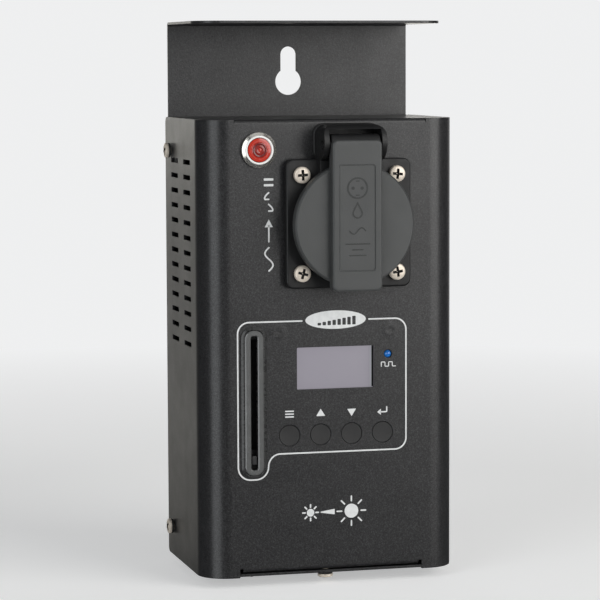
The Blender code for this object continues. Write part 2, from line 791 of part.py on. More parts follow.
def stud_places():
    """The control board's studs on the front."""
    return [(x, z) for x in (STUD_LEFT_X, STUD_RIGHT_X) for z in (STUD_TOP_Z, STUD_BOTTOM_Z)]


def power_stud_places():
    """The power board's studs on the back plate."""
    return [(x, z) for x in (-POWER_STUD_X, POWER_STUD_X) for z in (POWER_STUD_TOP_Z, POWER_STUD_BOTTOM_Z)]


def front_openings():
    """Every hole in the front sheet, as outlines in the front view."""
    outlines = [
        circle((LAMP_X, LAMP_Z), LAMP_BARREL_RADIUS + FIT_GAP, SMALL_STEPS),
        circle((SOCKET_X, SOCKET_Z), PANEL_HOLE_RADIUS, ROUND_STEPS),
        rounded(SPIGOT_WIDTH + 2 * FIT_GAP, SPIGOT_LENGTH + 2 * FIT_GAP, RIM_CORNER / 2, (FADER_X, FADER_Z)),
        rounded(WINDOW_WIDTH, WINDOW_HEIGHT, WINDOW_CORNER, (WINDOW_X, WINDOW_Z), steps=2),
        circle((LED_X, LED_Z), LED_RADIUS + FIT_GAP),
    ]
    for x, y in flange_screw_places():
        outlines.append(circle((SOCKET_X + x, SOCKET_Z + y), SHANK_HOLE_RADIUS))
    for place in button_places():
        outlines.append(circle(place, BUTTON_RADIUS + RUN_GAP, ROUND_STEPS))
    return outlines


def rear_corner_cutters(views):
    """The cutters that round the rear corners of the cover's sides."""
    margin = CLEAR_OF_CUT
    cutters = []
    for level, height, start in (("top", TOP, 0), ("bottom", BOTTOM, 270)):
        inward = -1 if height > 0 else 1
        centre = (-SIDE_EDGE_SETBACK - SIDE_EDGE_RADIUS, height + inward * SIDE_EDGE_RADIUS)
        points = arc(centre, SIDE_EDGE_RADIUS, start, start + 90)
        outer = (margin - SIDE_EDGE_SETBACK, height - inward * margin)
        if level == "top":
            points += [(centre[0], outer[1]), outer, (outer[0], centre[1])]
        else:
            points += [(outer[0], centre[1]), outer, (centre[0], outer[1])]
        name = f"rear_{level}_corner"
        width = HALF_WIDTH + margin
        cutters.append(helper(plate(name, [points], -width, width), views["side"]))
    return cutters


def board_studs(views):
    """The studs inside the front that carry the control board."""
    seat = -BOARD_DEPTH + FIT_GAP
    tip = -BOARD_DEPTH - STUD_PIN_LENGTH
    profile = [
        (0, -SHEET / 2),
        (STUD_RADIUS, -SHEET / 2),
        (STUD_RADIUS, seat),
        (STUD_PIN_RADIUS, seat),
        (STUD_PIN_RADIUS, tip),
        (0, tip),
    ]
    return [
        helper(turned(f"board_stud_{number}", profile, SMALL_STEPS), views["front"], (x, z, 0))
        for number, (x, z) in enumerate(stud_places(), 1)
    ]


def make_cover(views, finish):
    """The bent front cover with its flanges, studs, openings and vents."""
    front_face = -BODY_DEPTH
    notch_height = BOTTOM_FLANGE_RISE + BEND_RADIUS
    cover = part("front_cover", plate("cover_wrap", [wrap_outline()], BOTTOM, TOP), finish)
    margin = CLEAR_OF_CUT
    top_notch = helper(box(
        "top_notch",
        (-TOP_BEND_HALF, front_face - margin, TOP - BEND_RADIUS),
        (TOP_BEND_HALF, front_face + SHEET + margin, TOP + margin),
    ))
    notch_half = BOTTOM_BEND_HALF + RELIEF_WIDTH
    bottom_notch = helper(box(
        "bottom_notch",
        (-notch_half, front_face - margin, BOTTOM - margin),
        (notch_half, front_face + SHEET + margin, BOTTOM + notch_height),
    ))
    top_inset = SHEET + TOP_RELIEF
    top_rear = -SHEET - FIT_GAP
    leg = CLEAR_OF_CUT
    top_bend = bend_outline(TOP, -1, BEND_RADIUS + 2 * leg, leg)
    bottom_bend = bend_outline(BOTTOM + BOTTOM_FLANGE_RISE, 1, BOTTOM_FLANGE_DEPTH, leg)
    bend_half = TOP_BEND_HALF - TOP_RELIEF
    cut(cover, top_notch, bottom_notch, *rear_corner_cutters(views))
    join(
        cover,
        helper(plate("top_bend", [top_bend], -bend_half, bend_half), views["side"]),
        helper(plate("top_flange", [plan_outline(top_inset, top_rear)], TOP - SHEET, TOP)),
        helper(
            plate("bottom_bend", [bottom_bend], -BOTTOM_BEND_HALF, BOTTOM_BEND_HALF),
            views["side"],
        ),
    )
    join(cover, *board_studs(views))
    openings = plate("front_openings", front_openings(), -SHEET - margin, margin)
    vents = plate("vents", vent_outlines(), -HALF_WIDTH - margin, HALF_WIDTH + margin)
    side_drill = plate("side_drill", side_screw_holes(), -HALF_WIDTH - margin, HALF_WIDTH + margin)
    bottom_hole = circle((BOTTOM_SCREW_X, BODY_DEPTH - BOTTOM_SCREW_SETBACK), SHANK_HOLE_RADIUS)
    bottom_drill = plate("bottom_drill", [bottom_hole], -BOTTOM_FLANGE_RISE - SHEET - margin, margin)
    cut(
        cover,
        helper(openings, views["front"]),
        helper(vents, views["side"]),
        helper(side_drill, views["side"]),
        helper(bottom_drill, views["under"]),
    )
    return cover


def chassis_section():
    """Section of the chassis: bottom plate, back plate and hood lip, as (depth, height) points."""
    outer = BEND_RADIUS
    inner = BEND_RADIUS - SHEET
    low = (-outer, BOTTOM_FACE + outer)
    high = (-outer, HOOD_TOP - outer)
    return (
        [(-BODY_DEPTH, BOTTOM_FACE)]
        + arc(low, outer, 270, 360)
        + arc(high, outer, 0, 90)
        + [(-HOOD_DEPTH, HOOD_TOP), (-HOOD_DEPTH, HOOD_TOP - SHEET)]
        + arc(high, inner, 90, 0)
        + arc(low, inner, 360, 270)
        + [(-BODY_DEPTH, BOTTOM_FACE + SHEET)]
    )


def keyhole_outline():
    """A round hole for a screw's head with a slot above it for its shank."""
    spread = math.degrees(math.asin(KEYHOLE_SLOT_HALF / KEYHOLE_RADIUS))
    hole = arc((0, KEYHOLE_Z), KEYHOLE_RADIUS, 90 + spread, 450 - spread, ROUND_STEPS)
    slot_end = (0, KEYHOLE_TOP_Z - KEYHOLE_SLOT_HALF)
    return hole + arc(slot_end, KEYHOLE_SLOT_HALF, 0, 180, SMALL_STEPS)


def bottom_openings():
    """Every hole in the bottom plate, as outlines in the view from below."""
    outlines = [circle((BOTTOM_SCREW_X, BODY_DEPTH - BOTTOM_SCREW_SETBACK), SHANK_HOLE_RADIUS)]
    barrel = CONTROL_BARREL_RADIUS + FIT_GAP
    for x in (CONTROL_IN_X, CONTROL_OUT_X):
        outlines.append(circle((x, CONNECTOR_Y), barrel, ROUND_STEPS))
        for sign in (-1, 1):
            place = (x + sign * CONTROL_SCREW_X, CONNECTOR_Y - sign * CONTROL_SCREW_Y)
            outlines.append(circle(place, SHANK_HOLE_RADIUS))
    body = (INLET_BODY_WIDTH + 2 * FIT_GAP, INLET_BODY_LENGTH + 2 * FIT_GAP)
    outlines.append(rectangle(*body, (INLET_X, CONNECTOR_Y)))
    for sign in (-1, 1):
        outlines.append(circle((INLET_X, CONNECTOR_Y + sign * INLET_SCREW_PITCH / 2), SHANK_HOLE_RADIUS))
    return outlines


def make_chassis(views, finish):
    """The bent chassis: bottom plate, back plate with its keyhole and studs, hood lip and side tabs."""
    margin = CLEAR_OF_CUT
    mesh = plate("chassis", [chassis_section()], -PLATE_HALF, PLATE_HALF)
    chassis = part("chassis", mesh, finish, views["side"])
    front = -BODY_DEPTH
    inset = SHEET + SHEET_GAP
    notch_half = BOTTOM_BEND_HALF + RELIEF_WIDTH
    shapes = []
    for side, sign in (("left", -1), ("right", 1)):
        shapes.append(corner_cutter(
            f"hood_{side}_corner", PLATE_HALF, -HOOD_DEPTH, HOOD_CORNER_RADIUS, HOOD_TOP - SHEET - margin,
            HOOD_TOP + margin, sign,
        ))
        radius = CORNER_RADIUS - inset
        centre = (HALF_WIDTH - CORNER_RADIUS, front + CORNER_RADIUS)
        outer = PLATE_HALF + margin
        points = [(notch_half, front - margin), (notch_half, front + inset)]
        points += arc(centre, radius, 270, 360) + [(outer, centre[1]), (outer, front - margin)]
        name = f"bottom_{side}_corner"
        outline = [(sign * x, y) for x, y in points]
        shapes.append(helper(plate(name, [outline], BOTTOM - margin, BOTTOM_FACE + SHEET + margin)))
    cut(chassis, *shapes)
    for name, sign, z in side_screw_places():
        faces = sorted((sign * PLATE_HALF, sign * (PLATE_HALF - SHEET)))
        low = (faces[0], -TAB_DEPTH, z - TAB_HALF)
        high = (faces[1], -SHEET / 2, z + TAB_HALF)
        join(chassis, helper(box(f"tab_{name}", low, high)))
    for number, (x, z) in enumerate(power_stud_places(), 1):
        name = f"power_stud_{number}"
        tip = POWER_BOARD_RISE + BOARD_THICKNESS + FIT_GAP
        profile = [
            (0, tip),
            (STUD_PIN_RADIUS, tip),
            (STUD_PIN_RADIUS, POWER_BOARD_RISE - FIT_GAP),
            (STUD_RADIUS, POWER_BOARD_RISE - FIT_GAP),
            (STUD_RADIUS, -SHEET / 2),
            (0, -SHEET / 2),
        ]
        join(chassis, helper(turned(name, profile, SMALL_STEPS), views["back"], (x, z, 0)))
    under_holes = plate("bottom_openings", bottom_openings(), -SHEET - margin, margin)
    cut(
        chassis,
        helper(plate("keyhole", [keyhole_outline()], -SHEET - margin, margin), views["back"]),
        helper(plate("tab_drill", side_screw_holes(), -HALF_WIDTH, HALF_WIDTH), views["side"]),
        helper(under_holes, views["under"]),
        helper(
            box(
                "latch_opening",
                (-LATCH_WIDTH / 2 - FIT_GAP, LATCH_OFFSET - LATCH_LENGTH / 2 - FIT_GAP, -SHEET - margin),
                (LATCH_WIDTH / 2 + FIT_GAP, LATCH_OFFSET + LATCH_LENGTH / 2 + FIT_GAP, margin),
            ),
            views["control_out"],
        ),
    )
    return chassis


def make_case_screws(views, finish):
    """The four side screws and the bottom screw, all alike."""
    mesh = screw_mesh("case_screw", SCREW_HEAD_RADIUS, SCREW_HEAD_HEIGHT, SIDE_SCREW_LENGTH, washer=True)
    for name, sign, z in side_screw_places():
        place = (sign * (HALF_WIDTH + FIT_GAP), SIDE_SCREW_Y, z)
        part(f"side_screw_{name}", mesh, finish, None, place, (0, sign * math.pi / 2, 0))
    place = (BOTTOM_SCREW_X, BODY_DEPTH - BOTTOM_SCREW_SETBACK, FIT_GAP)
    part("bottom_screw", mesh, finish, views["under"], place)


def make_outlet(views, finishes):
    """The outlet's fixed pieces: gasket, flange with hinge housing, insert, contacts and screws."""
    on = views["socket"]
    holes = [circle(place, SHANK_HOLE_RADIUS) for place in flange_screw_places()]
    size = FLANGE_SIZE - 2 * GASKET_INSET
    gasket = [rounded(size, size, FLANGE_CORNER), circle((0, 0), PANEL_HOLE_RADIUS, ROUND_STEPS)] + holes
    mesh = plate("socket_gasket", gasket, FIT_GAP, FIT_GAP + GASKET_THICKNESS)
    part("socket_gasket", mesh, finishes["rubber"], on)
    make_flange(on, finishes["moulding"], holes)
    make_insert(on, finishes["moulding"])
    make_contacts(on, finishes["brass"])
    mesh = screw_mesh("flange_screw", FLANGE_SCREW_HEAD_RADIUS, SCREW_HEAD_HEIGHT, FLANGE_SCREW_LENGTH)
    for number, (x, y) in enumerate(flange_screw_places(), 1):
        place = (x, y, FLANGE_FRONT + FIT_GAP)
        part(f"socket_screw_{number}", mesh, finishes["nickel"], on, place, (0, 0, math.radians(17 * number)))


def make_flange(on, finish, holes):
    """The square flange with its collar and the housing that holds the lid's pin."""
    edge = FLANGE_SIZE / 2
    top = edge + HOUSING_RISE
    inner = HOUSING_HALF - HOUSING_WALL
    outline = [rounded(FLANGE_SIZE, FLANGE_SIZE, FLANGE_CORNER)] + holes
    flange = part("socket_flange", plate("socket_flange", outline, FLANGE_BACK, FLANGE_FRONT), finish, on)
    base = edge - GASKET_INSET / 2
    hood = [(-HOUSING_HALF, base), (HOUSING_HALF, base)]
    hood += arc((HOUSING_HALF - HOUSING_CORNER, top - HOUSING_CORNER), HOUSING_CORNER, 0, 90, 4)
    hood += arc((-HOUSING_HALF + HOUSING_CORNER, top - HOUSING_CORNER), HOUSING_CORNER, 90, 180, 4)
    collar = cylinder("flange_collar", COLLAR_RADIUS, FLANGE_BACK + OVERLAP, COLLAR_FRONT, ROUND_STEPS)
    apron = box(
        "hinge_apron",
        (-HOUSING_HALF, edge - APRON_DROP, FLANGE_BACK + OVERLAP),
        (HOUSING_HALF, edge - OVERLAP / 2, COLLAR_FRONT - FIT_GAP),
    )
    housing = helper(plate("hinge_housing", [hood], FIT_GAP, HOUSING_PROUD), on)
    margin = CLEAR_OF_CUT
    bore = cylinder("collar_bore", COLLAR_BORE_RADIUS, -margin, COLLAR_FRONT + margin, ROUND_STEPS)
    cavity = box(
        "housing_cavity",
        (-inner, edge + OVERLAP, FIT_GAP + HOUSING_BACK_WALL),
        (inner, top - HOUSING_TOP_WALL, HOUSING_PROUD + margin),
    )
    mouth = box(
        "housing_mouth",
        (-inner, edge - margin, COLLAR_FRONT - FIT_GAP / 2),
        (inner, edge + margin, HOUSING_PROUD + margin),
    )
    pin_reach = HOUSING_HALF + margin
    pin_bore = cylinder("housing_pin_bore", PIN_RADIUS + FIT_GAP, -pin_reach, pin_reach)
    pin_bore = helper(pin_bore, on, (0, PIN_Y, PIN_PROUD), (0, math.pi / 2, 0))
    nose_start = HOUSING_PROUD - HOUSING_NOSE_RADIUS
    nose = [(nose_start, top + margin)]
    nose += arc((nose_start, top - HOUSING_NOSE_RADIUS), HOUSING_NOSE_RADIUS, 90, 0)
    nose += arc((nose_start, base + HOUSING_NOSE_RADIUS), HOUSING_NOSE_RADIUS, 0, -90)
    nose += [(nose_start, base - GASKET_INSET), (HOUSING_PROUD + margin, base - GASKET_INSET)]
    nose += [(HOUSING_PROUD + margin, top + margin)]
    nose = plate("housing_nose", [nose], -HOUSING_HALF - margin, HOUSING_HALF + margin)
    cut(housing, helper(nose, on, (0, 0, 0), (0, -math.pi / 2, 0)))
    join(flange, helper(collar, on), helper(apron, on), housing)
    cut(flange, *(helper(mesh, on) for mesh in (bore, cavity, mouth)), pin_bore)


def make_insert(on, finish):
    """The round well that the plug enters, and the block behind it that holds the contacts."""
    profile = [
        (0, WELL_FLOOR),
        (WELL_RADIUS, WELL_FLOOR),
        (WELL_RADIUS, COLLAR_FRONT),
        (INSERT_RADIUS, COLLAR_FRONT),
        (INSERT_RADIUS, INSERT_BACK),
        (0, INSERT_BACK),
    ]
    insert = part("socket_insert", turned("socket_insert", profile), finish, on)
    for side, sign in (("left", -1), ("right", 1)):
        xs = sorted((sign * (WELL_RADIUS + OVERLAP), sign * (WELL_RADIUS - GUIDE_RIB_HEIGHT)))
        low = (xs[0], -GUIDE_RIB_WIDTH / 2, WELL_FLOOR - OVERLAP)
        high = (xs[1], GUIDE_RIB_WIDTH / 2, COLLAR_FRONT - WELL_DEPTH / 4)
        join(insert, helper(box(f"guide_rib_{side}", low, high), on))
    behind = INSERT_BACK - CLEAR_OF_CUT
    cavity_radius = CONTACT_BORE_RADIUS + CONTACT_WALL + FIT_GAP
    shoulder = WELL_FLOOR - CONTACT_WALL * 3
    for side, sign in (("left", -1), ("right", 1)):
        place = (sign * CONTACT_PITCH / 2, 0, 0)
        profile = [
            (0, WELL_FLOOR + CLEAR_OF_CUT),
            (CONTACT_HOLE_RADIUS, WELL_FLOOR + CLEAR_OF_CUT),
            (CONTACT_HOLE_RADIUS, shoulder),
            (cavity_radius, shoulder),
            (cavity_radius, behind),
            (0, behind),
        ]
        name = f"contact_cavity_{side}"
        cut(insert, helper(turned(name, profile, SMALL_STEPS), on, place))
    for level, sign in (("top", 1), ("bottom", -1)):
        half = EARTH_WIDTH / 2 + FIT_GAP
        ys = sorted((sign * (EARTH_RADIUS - FIT_GAP), sign * (EARTH_RADIUS + EARTH_THICKNESS + FIT_GAP)))
        low = (-half, ys[0], behind)
        high = (half, ys[1], WELL_FLOOR + CLEAR_OF_CUT)
        cut(insert, helper(box(f"earth_slot_{level}", low, high), on))


def earth_section():
    """Section of the earth strap, as (height, proud) points: two sprung arms and the bar behind the block."""
    inner = EARTH_RADIUS
    outer = EARTH_RADIUS + EARTH_THICKNESS
    bar_front = INSERT_BACK - FIT_GAP
    bar_back = bar_front - EARTH_THICKNESS
    tip = WELL_FLOOR + 0.7 * WELL_DEPTH
    knee = WELL_FLOOR + 0.45 * WELL_DEPTH
    bend = WELL_FLOOR + 0.2 * WELL_DEPTH
    arm = [(outer, bar_back), (outer, bend), (outer - EARTH_BUMP, knee), (outer, tip)]
    arm += [(inner, tip), (inner - EARTH_BUMP, knee), (inner, bend), (inner, bar_front)]
    return arm + [(-y, z) for y, z in arm[::-1]]


def make_contacts(on, finish):
    """The live and neutral sleeves and the earth strap."""
    front = WELL_FLOOR - CONTACT_WALL * 3 - FIT_GAP
    outer = CONTACT_BORE_RADIUS + CONTACT_WALL
    back = front - CONTACT_LENGTH
    profile = [
        (0, back + CONTACT_WALL),
        (CONTACT_BORE_RADIUS, back + CONTACT_WALL),
        (CONTACT_BORE_RADIUS, front),
        (outer, front),
        (outer, back),
        (0, back),
    ]
    for name, sign in (("live_contact", -1), ("neutral_contact", 1)):
        place = (sign * CONTACT_PITCH / 2, 0, 0)
        sleeve = part(name, turned(name, profile, SMALL_STEPS), finish, on, place)
        low = (-TAIL_WIDTH / 2, -TAIL_THICKNESS / 2, back - TAIL_LENGTH)
        high = (TAIL_WIDTH / 2, TAIL_THICKNESS / 2, back + CONTACT_WALL / 2)
        join(sleeve, helper(box(f"{name}_tail", low, high), on, place))
    half = EARTH_WIDTH / 2
    strap = plate("earth_contact", [earth_section()], -half, half)
    part("earth_contact", strap, finish, on, (0, 0, 0), SIDE_TURN)


def make_lid(views, finishes):
    """The lid with its strap and knuckles, its seal, the hinge pin and the spring."""
    on = views["hinge"]
    back_to_socket = (0, -PIN_Y, -PIN_PROUD)
    skirt_bore = LID_RADIUS - LID_SKIRT_WALL
    skirt_back = COLLAR_FRONT + FIT_GAP
    profile = [
        (0, LID_FRONT),
        (LID_RADIUS - LID_CHAMFER, LID_FRONT),
        (LID_RADIUS, LID_FRONT - LID_CHAMFER),
        (LID_RADIUS, skirt_back),
        (skirt_bore, skirt_back),
        (skirt_bore, LID_BACK),
        (0, LID_BACK),
    ]
    lid = part("socket_lid", turned("socket_lid", profile), finishes["lid"], on, back_to_socket)
    strap_back = STRAP_PROUD - STRAP_THICKNESS
    strap = [(STRAP_HALF, STRAP_TOP), (-STRAP_HALF, STRAP_TOP)]
    strap += arc((-STRAP_HALF + STRAP_CORNER, STRAP_BOTTOM + STRAP_CORNER), STRAP_CORNER, 180, 270, 4)
    strap += arc((STRAP_HALF - STRAP_CORNER, STRAP_BOTTOM + STRAP_CORNER), STRAP_CORNER, 270, 360, 4)
    bar = helper(plate("strap_bar", [strap], strap_back, STRAP_PROUD), on, back_to_socket)
    bevel(bar, STRAP_BEVEL, 2, 60)
    panel = rounded(
        PANEL_WIDTH, PANEL_TOP - PANEL_BOTTOM, PANEL_CORNER, (0, (PANEL_TOP + PANEL_BOTTOM) / 2), steps=1
    )
    panel_cutter = helper(
        plate("strap_panel", [panel], STRAP_PROUD - PANEL_DEPTH, STRAP_PROUD + CLEAR_OF_CUT),
        on, back_to_socket,
    )
    along_pin = (0, math.pi / 2, 0)
    knuckle = cylinder("lid_knuckle", KNUCKLE_RADIUS, -STRAP_HALF, STRAP_HALF, ROUND_STEPS)
    pocket = cylinder("spring_pocket", SPRING_POCKET_RADIUS, -KNUCKLE_GAP_HALF, KNUCKLE_GAP_HALF)
    gap = box(
        "knuckle_gap",
        (-KNUCKLE_GAP_HALF, -KNUCKLE_RADIUS - CLEAR_OF_CUT, -KNUCKLE_RADIUS - CLEAR_OF_CUT),
        (KNUCKLE_GAP_HALF, KNUCKLE_RADIUS + CLEAR_OF_CUT, strap_back - PIN_PROUD),
    )
    reach = STRAP_HALF + CLEAR_OF_CUT
    bore = cylinder("lid_pin_bore", PIN_RADIUS + FIT_GAP, -reach, reach)
    join(lid, bar, helper(knuckle, on, (0, 0, 0), along_pin))
    cut(
        lid,
        panel_cutter,
        helper(gap, on),
        helper(pocket, on, (0, 0, 0), along_pin),
        helper(bore, on, (0, 0, 0), along_pin),
    )
    seal_outer = skirt_bore - FIT_GAP
    seal_inner = seal_outer - SEAL_WIDTH
    seal_front = skirt_back + SEAL_THICKNESS
    ring = [
        (seal_inner, seal_front),
        (seal_outer, seal_front),
        (seal_outer, skirt_back),
        (seal_inner, skirt_back),
        (seal_inner, seal_front),
    ]
    part("lid_seal", turned("lid_seal", ring), finishes["rubber"], on, back_to_socket)
    pin = cylinder("lid_pin", PIN_RADIUS, -HOUSING_HALF, HOUSING_HALF)
    part("lid_pin", pin, finishes["steel"], on, (0, 0, 0), along_pin)
    spring = helper(tube("spring_wire", spring_points(), SPRING_WIRE_RADIUS), on)
    mesh = welded(baked(spring, "lid_spring"))
    part("lid_spring", mesh, finishes["steel"], on)


def spring_points():
    """The torsion spring's centre line round the pin: a leg to the housing, the coil and a leg to the lid."""
    steps = SPRING_TURNS * SPRING_POINTS_PER_TURN
    half = KNUCKLE_GAP_HALF - SPRING_WIRE_RADIUS - FIT_GAP
    coil = []
    for step in range(steps + 1):
        angle = math.radians(270) + 2 * math.pi * step / SPRING_POINTS_PER_TURN
        x = -half + 2 * half * step / steps
        coil.append((x, SPRING_RADIUS * math.sin(angle), SPRING_RADIUS * math.cos(angle)))
    wall = FIT_GAP + HOUSING_BACK_WALL - PIN_PROUD + SPRING_WIRE_RADIUS + FIT_GAP
    first = (coil[0][0], coil[0][1], wall)
    middle = (coil[0][0], coil[0][1], wall / 2)
    return [first, middle] + coil[:-1] + end_leg(coil[-1])


def end_leg(last):
    """The coil's last point and the short leg that leans on the lid, above the pin."""
    return [last, (last[0], last[1], last[2] - SPRING_LEG)]


def welded(mesh):
    """The mesh with its loose caps joined to its sides."""
    work = bmesh.new()
    work.from_mesh(mesh)
    bmesh.ops.remove_doubles(work, verts=work.verts, dist=1e-7)
    bmesh.ops.recalc_face_normals(work, faces=work.faces)
    work.to_mesh(mesh)
    work.free()
    return mesh


def make_lamp(views, finishes):
    """The round lamp: bezel with its threaded barrel, lens, nut and holder."""
    on = views["lamp"]
    top = FIT_GAP + LAMP_BEZEL_HEIGHT
    barrel_end = FIT_GAP - LAMP_BARREL_LENGTH
    bezel = [
        (LAMP_BORE_RADIUS, top - 0.2 * LAMP_BEZEL_HEIGHT),
        (LAMP_BARREL_RADIUS, top),
        (LAMP_BEZEL_RADIUS - 0.25 * LAMP_BEZEL_HEIGHT, top - 0.1 * LAMP_BEZEL_HEIGHT),
        (LAMP_BEZEL_RADIUS, top - 0.5 * LAMP_BEZEL_HEIGHT),
        (LAMP_BEZEL_RADIUS, FIT_GAP),
        (LAMP_BARREL_RADIUS, FIT_GAP),
        (LAMP_BARREL_RADIUS, barrel_end),
        (LAMP_BORE_RADIUS, barrel_end),
        (LAMP_BORE_RADIUS, top - 0.2 * LAMP_BEZEL_HEIGHT),
    ]
    part("lamp_bezel", turned("lamp_bezel", bezel), finishes["chrome"], on)
    lens_radius = LAMP_BORE_RADIUS - FIT_GAP
    lens_back = top - LAMP_LENS_DEPTH
    lens = [(0, top + LAMP_LENS_DOME)]
    for share in (0.4, 0.75, 1.0):
        lens.append((lens_radius * share, top + LAMP_LENS_DOME * (1 - share**2)))
    lens += [(lens_radius, lens_back), (0, lens_back)]
    part("lamp_lens", turned("lamp_lens", lens), finishes["lens"], on)
    nut_front = -SHEET - FIT_GAP
    nut = [circle((0, 0), LAMP_NUT_RADIUS, 6), circle((0, 0), LAMP_BARREL_RADIUS + FIT_GAP)]
    mesh = plate("lamp_nut", nut, nut_front - LAMP_NUT_THICKNESS, nut_front)
    part("lamp_nut", mesh, finishes["nickel"], on)
    front = lens_back - FIT_GAP
    back = front - LAMP_HOLDER_LENGTH
    holder = part("lamp_holder", cylinder("lamp_holder", lens_radius, back, front), finishes["moulding"], on)
    for side, sign in (("left", -1), ("right", 1)):
        middle = sign * lens_radius / 2
        low = (middle - TAIL_THICKNESS / 2, -TAIL_WIDTH / 2, back - LAMP_TAG_LENGTH)
        high = (middle + TAIL_THICKNESS / 2, TAIL_WIDTH / 2, back + OVERLAP)
        join(holder, helper(box(f"lamp_tag_{side}", low, high), on))


def make_fader(views, finishes):
    """The fader: raised bezel, body and the lever on its carriage."""
    on = views["fader"]
    base_top = FIT_GAP + BEZEL_THICKNESS
    spigot_back = -SHEET - FIT_GAP
    body_front = spigot_back - FIT_GAP
    bottom = -FADER_TRAVEL / 2
    bezel = part(
        "fader_bezel",
        plate("fader_bezel", [rounded(BEZEL_WIDTH, BEZEL_LENGTH, BEZEL_CORNER)], FIT_GAP, base_top),
        finishes["moulding"], on,
    )
    rim = rounded(RIM_WIDTH, RIM_LENGTH, RIM_CORNER)
    rim = plate("fader_rim", [rim], FIT_GAP + BEZEL_THICKNESS / 2, RIM_PROUD)
    spigot = rounded(SPIGOT_WIDTH, SPIGOT_LENGTH, RIM_CORNER / 2)
    spigot = plate("fader_spigot", [spigot], spigot_back, base_top - BEZEL_THICKNESS / 3)
    join(bezel, helper(rim, on), helper(spigot, on))
    low, high = spigot_back - CLEAR_OF_CUT, RIM_PROUD + CLEAR_OF_CUT
    slot = rounded(SLOT_WIDTH, SLOT_LENGTH, SLOT_CORNER)
    swell = ellipse(SLOT_SWELL_WIDTH, SLOT_SWELL_LENGTH, (0, bottom))
    cut(
        bezel,
        helper(plate("fader_slot", [slot], low, high), on),
        helper(plate("slot_swell", [swell], low, high), on),
    )
    half_width = FADER_BODY_WIDTH / 2
    half_length = FADER_BODY_LENGTH / 2
    body_back = body_front - FADER_BODY_DEPTH
    body = part(
        "fader_body",
        box("fader_body", (-half_width, -half_length, body_back), (half_width, half_length, body_front)),
        finishes["aluminium"], on,
    )
    wall = FADER_BODY_WALL
    run = FADER_TRAVEL / 2 + CARRIAGE_LENGTH / 2 + RUN_GAP
    stem_half = LEVER_WIDTH / 2
    mouth = FADER_TRAVEL / 2 + LEVER_HEIGHT / 2 + RUN_GAP
    inside = CARRIAGE_WIDTH / 2 + RUN_GAP
    cut(
        body,
        helper(box(
            "fader_track", (-inside, -run, body_back + wall), (inside, run, body_front - wall)
        ), on),
        helper(box(
            "fader_mouth",
            (-stem_half - RUN_GAP, -mouth, body_front - 2 * wall),
            (stem_half + RUN_GAP, mouth, body_front + CLEAR_OF_CUT),
        ), on),
    )
    carriage_front = body_front - wall - RUN_GAP
    lever_at = (0, bottom, 0)
    lever = part(
        "fader_lever",
        box(
            "fader_lever",
            (-CARRIAGE_WIDTH / 2, -CARRIAGE_LENGTH / 2, body_back + wall + RUN_GAP),
            (CARRIAGE_WIDTH / 2, CARRIAGE_LENGTH / 2, carriage_front),
        ),
        finishes["moulding"], on, lever_at,
    )
    join(lever, helper(box(
        "lever_stem",
        (-stem_half, -LEVER_HEIGHT / 2, carriage_front - OVERLAP),
        (stem_half, LEVER_HEIGHT / 2, LEVER_PROUD),
    ), on, lever_at))


def make_controls(views, finishes):
    """The display, the signal light, the buttons, their switches and the board that carries them."""
    on = views["front"]
    glass = rounded(WINDOW_WIDTH + 2 * GLASS_MARGIN, WINDOW_HEIGHT + 2 * GLASS_MARGIN, WINDOW_CORNER, steps=1)
    module = (WINDOW_WIDTH / 2 + DISPLAY_MARGIN, WINDOW_HEIGHT / 2 + DISPLAY_MARGIN)
    glass_back = -GLASS_DEPTH - GLASS_THICKNESS
    board_front = -BOARD_DEPTH
    seat = board_front + FIT_GAP
    place = (WINDOW_X, WINDOW_Z, 0)
    mesh = plate("display_glass", [glass], glass_back, -GLASS_DEPTH)
    part("display_glass", mesh, finishes["glass"], on, place)
    part(
        "display_module",
        box("display_module", (-module[0], -module[1], seat), (*module, glass_back - FIT_GAP)),
        finishes["moulding"], on, place,
    )
    rim = -SHEET - RUN_GAP
    shoulder = rim - 2 * LED_RADIUS / 3
    light = [
        (0, LED_PROUD),
        (LED_RADIUS * 0.6, LED_PROUD - LED_RADIUS * 0.2),
        (LED_RADIUS, LED_PROUD - LED_RADIUS),
        (LED_RADIUS, rim),
        (LED_RIM_RADIUS, rim),
        (LED_RIM_RADIUS, shoulder),
        (LED_RADIUS, shoulder),
        (LED_RADIUS, seat),
        (0, seat),
    ]
    mesh = turned("signal_light", light, SMALL_STEPS)
    part("signal_light", mesh, finishes["signal"], on, (LED_X, LED_Z, 0))
    for number, (x, z) in enumerate(button_places(), 1):
        make_button(number, (x, z, 0), on, finishes, seat)
    holes = [circle(spot, STUD_PIN_RADIUS + FIT_GAP) for spot in stud_places()]
    middle = ((BOARD_LEFT + BOARD_RIGHT) / 2, (BOARD_TOP + BOARD_BOTTOM) / 2)
    edge = rounded(BOARD_RIGHT - BOARD_LEFT, BOARD_TOP - BOARD_BOTTOM, STUD_RADIUS, middle, steps=2)
    board = plate("control_board", [edge] + holes, board_front - BOARD_THICKNESS, board_front)
    part("control_board", board, finishes["board"], on)


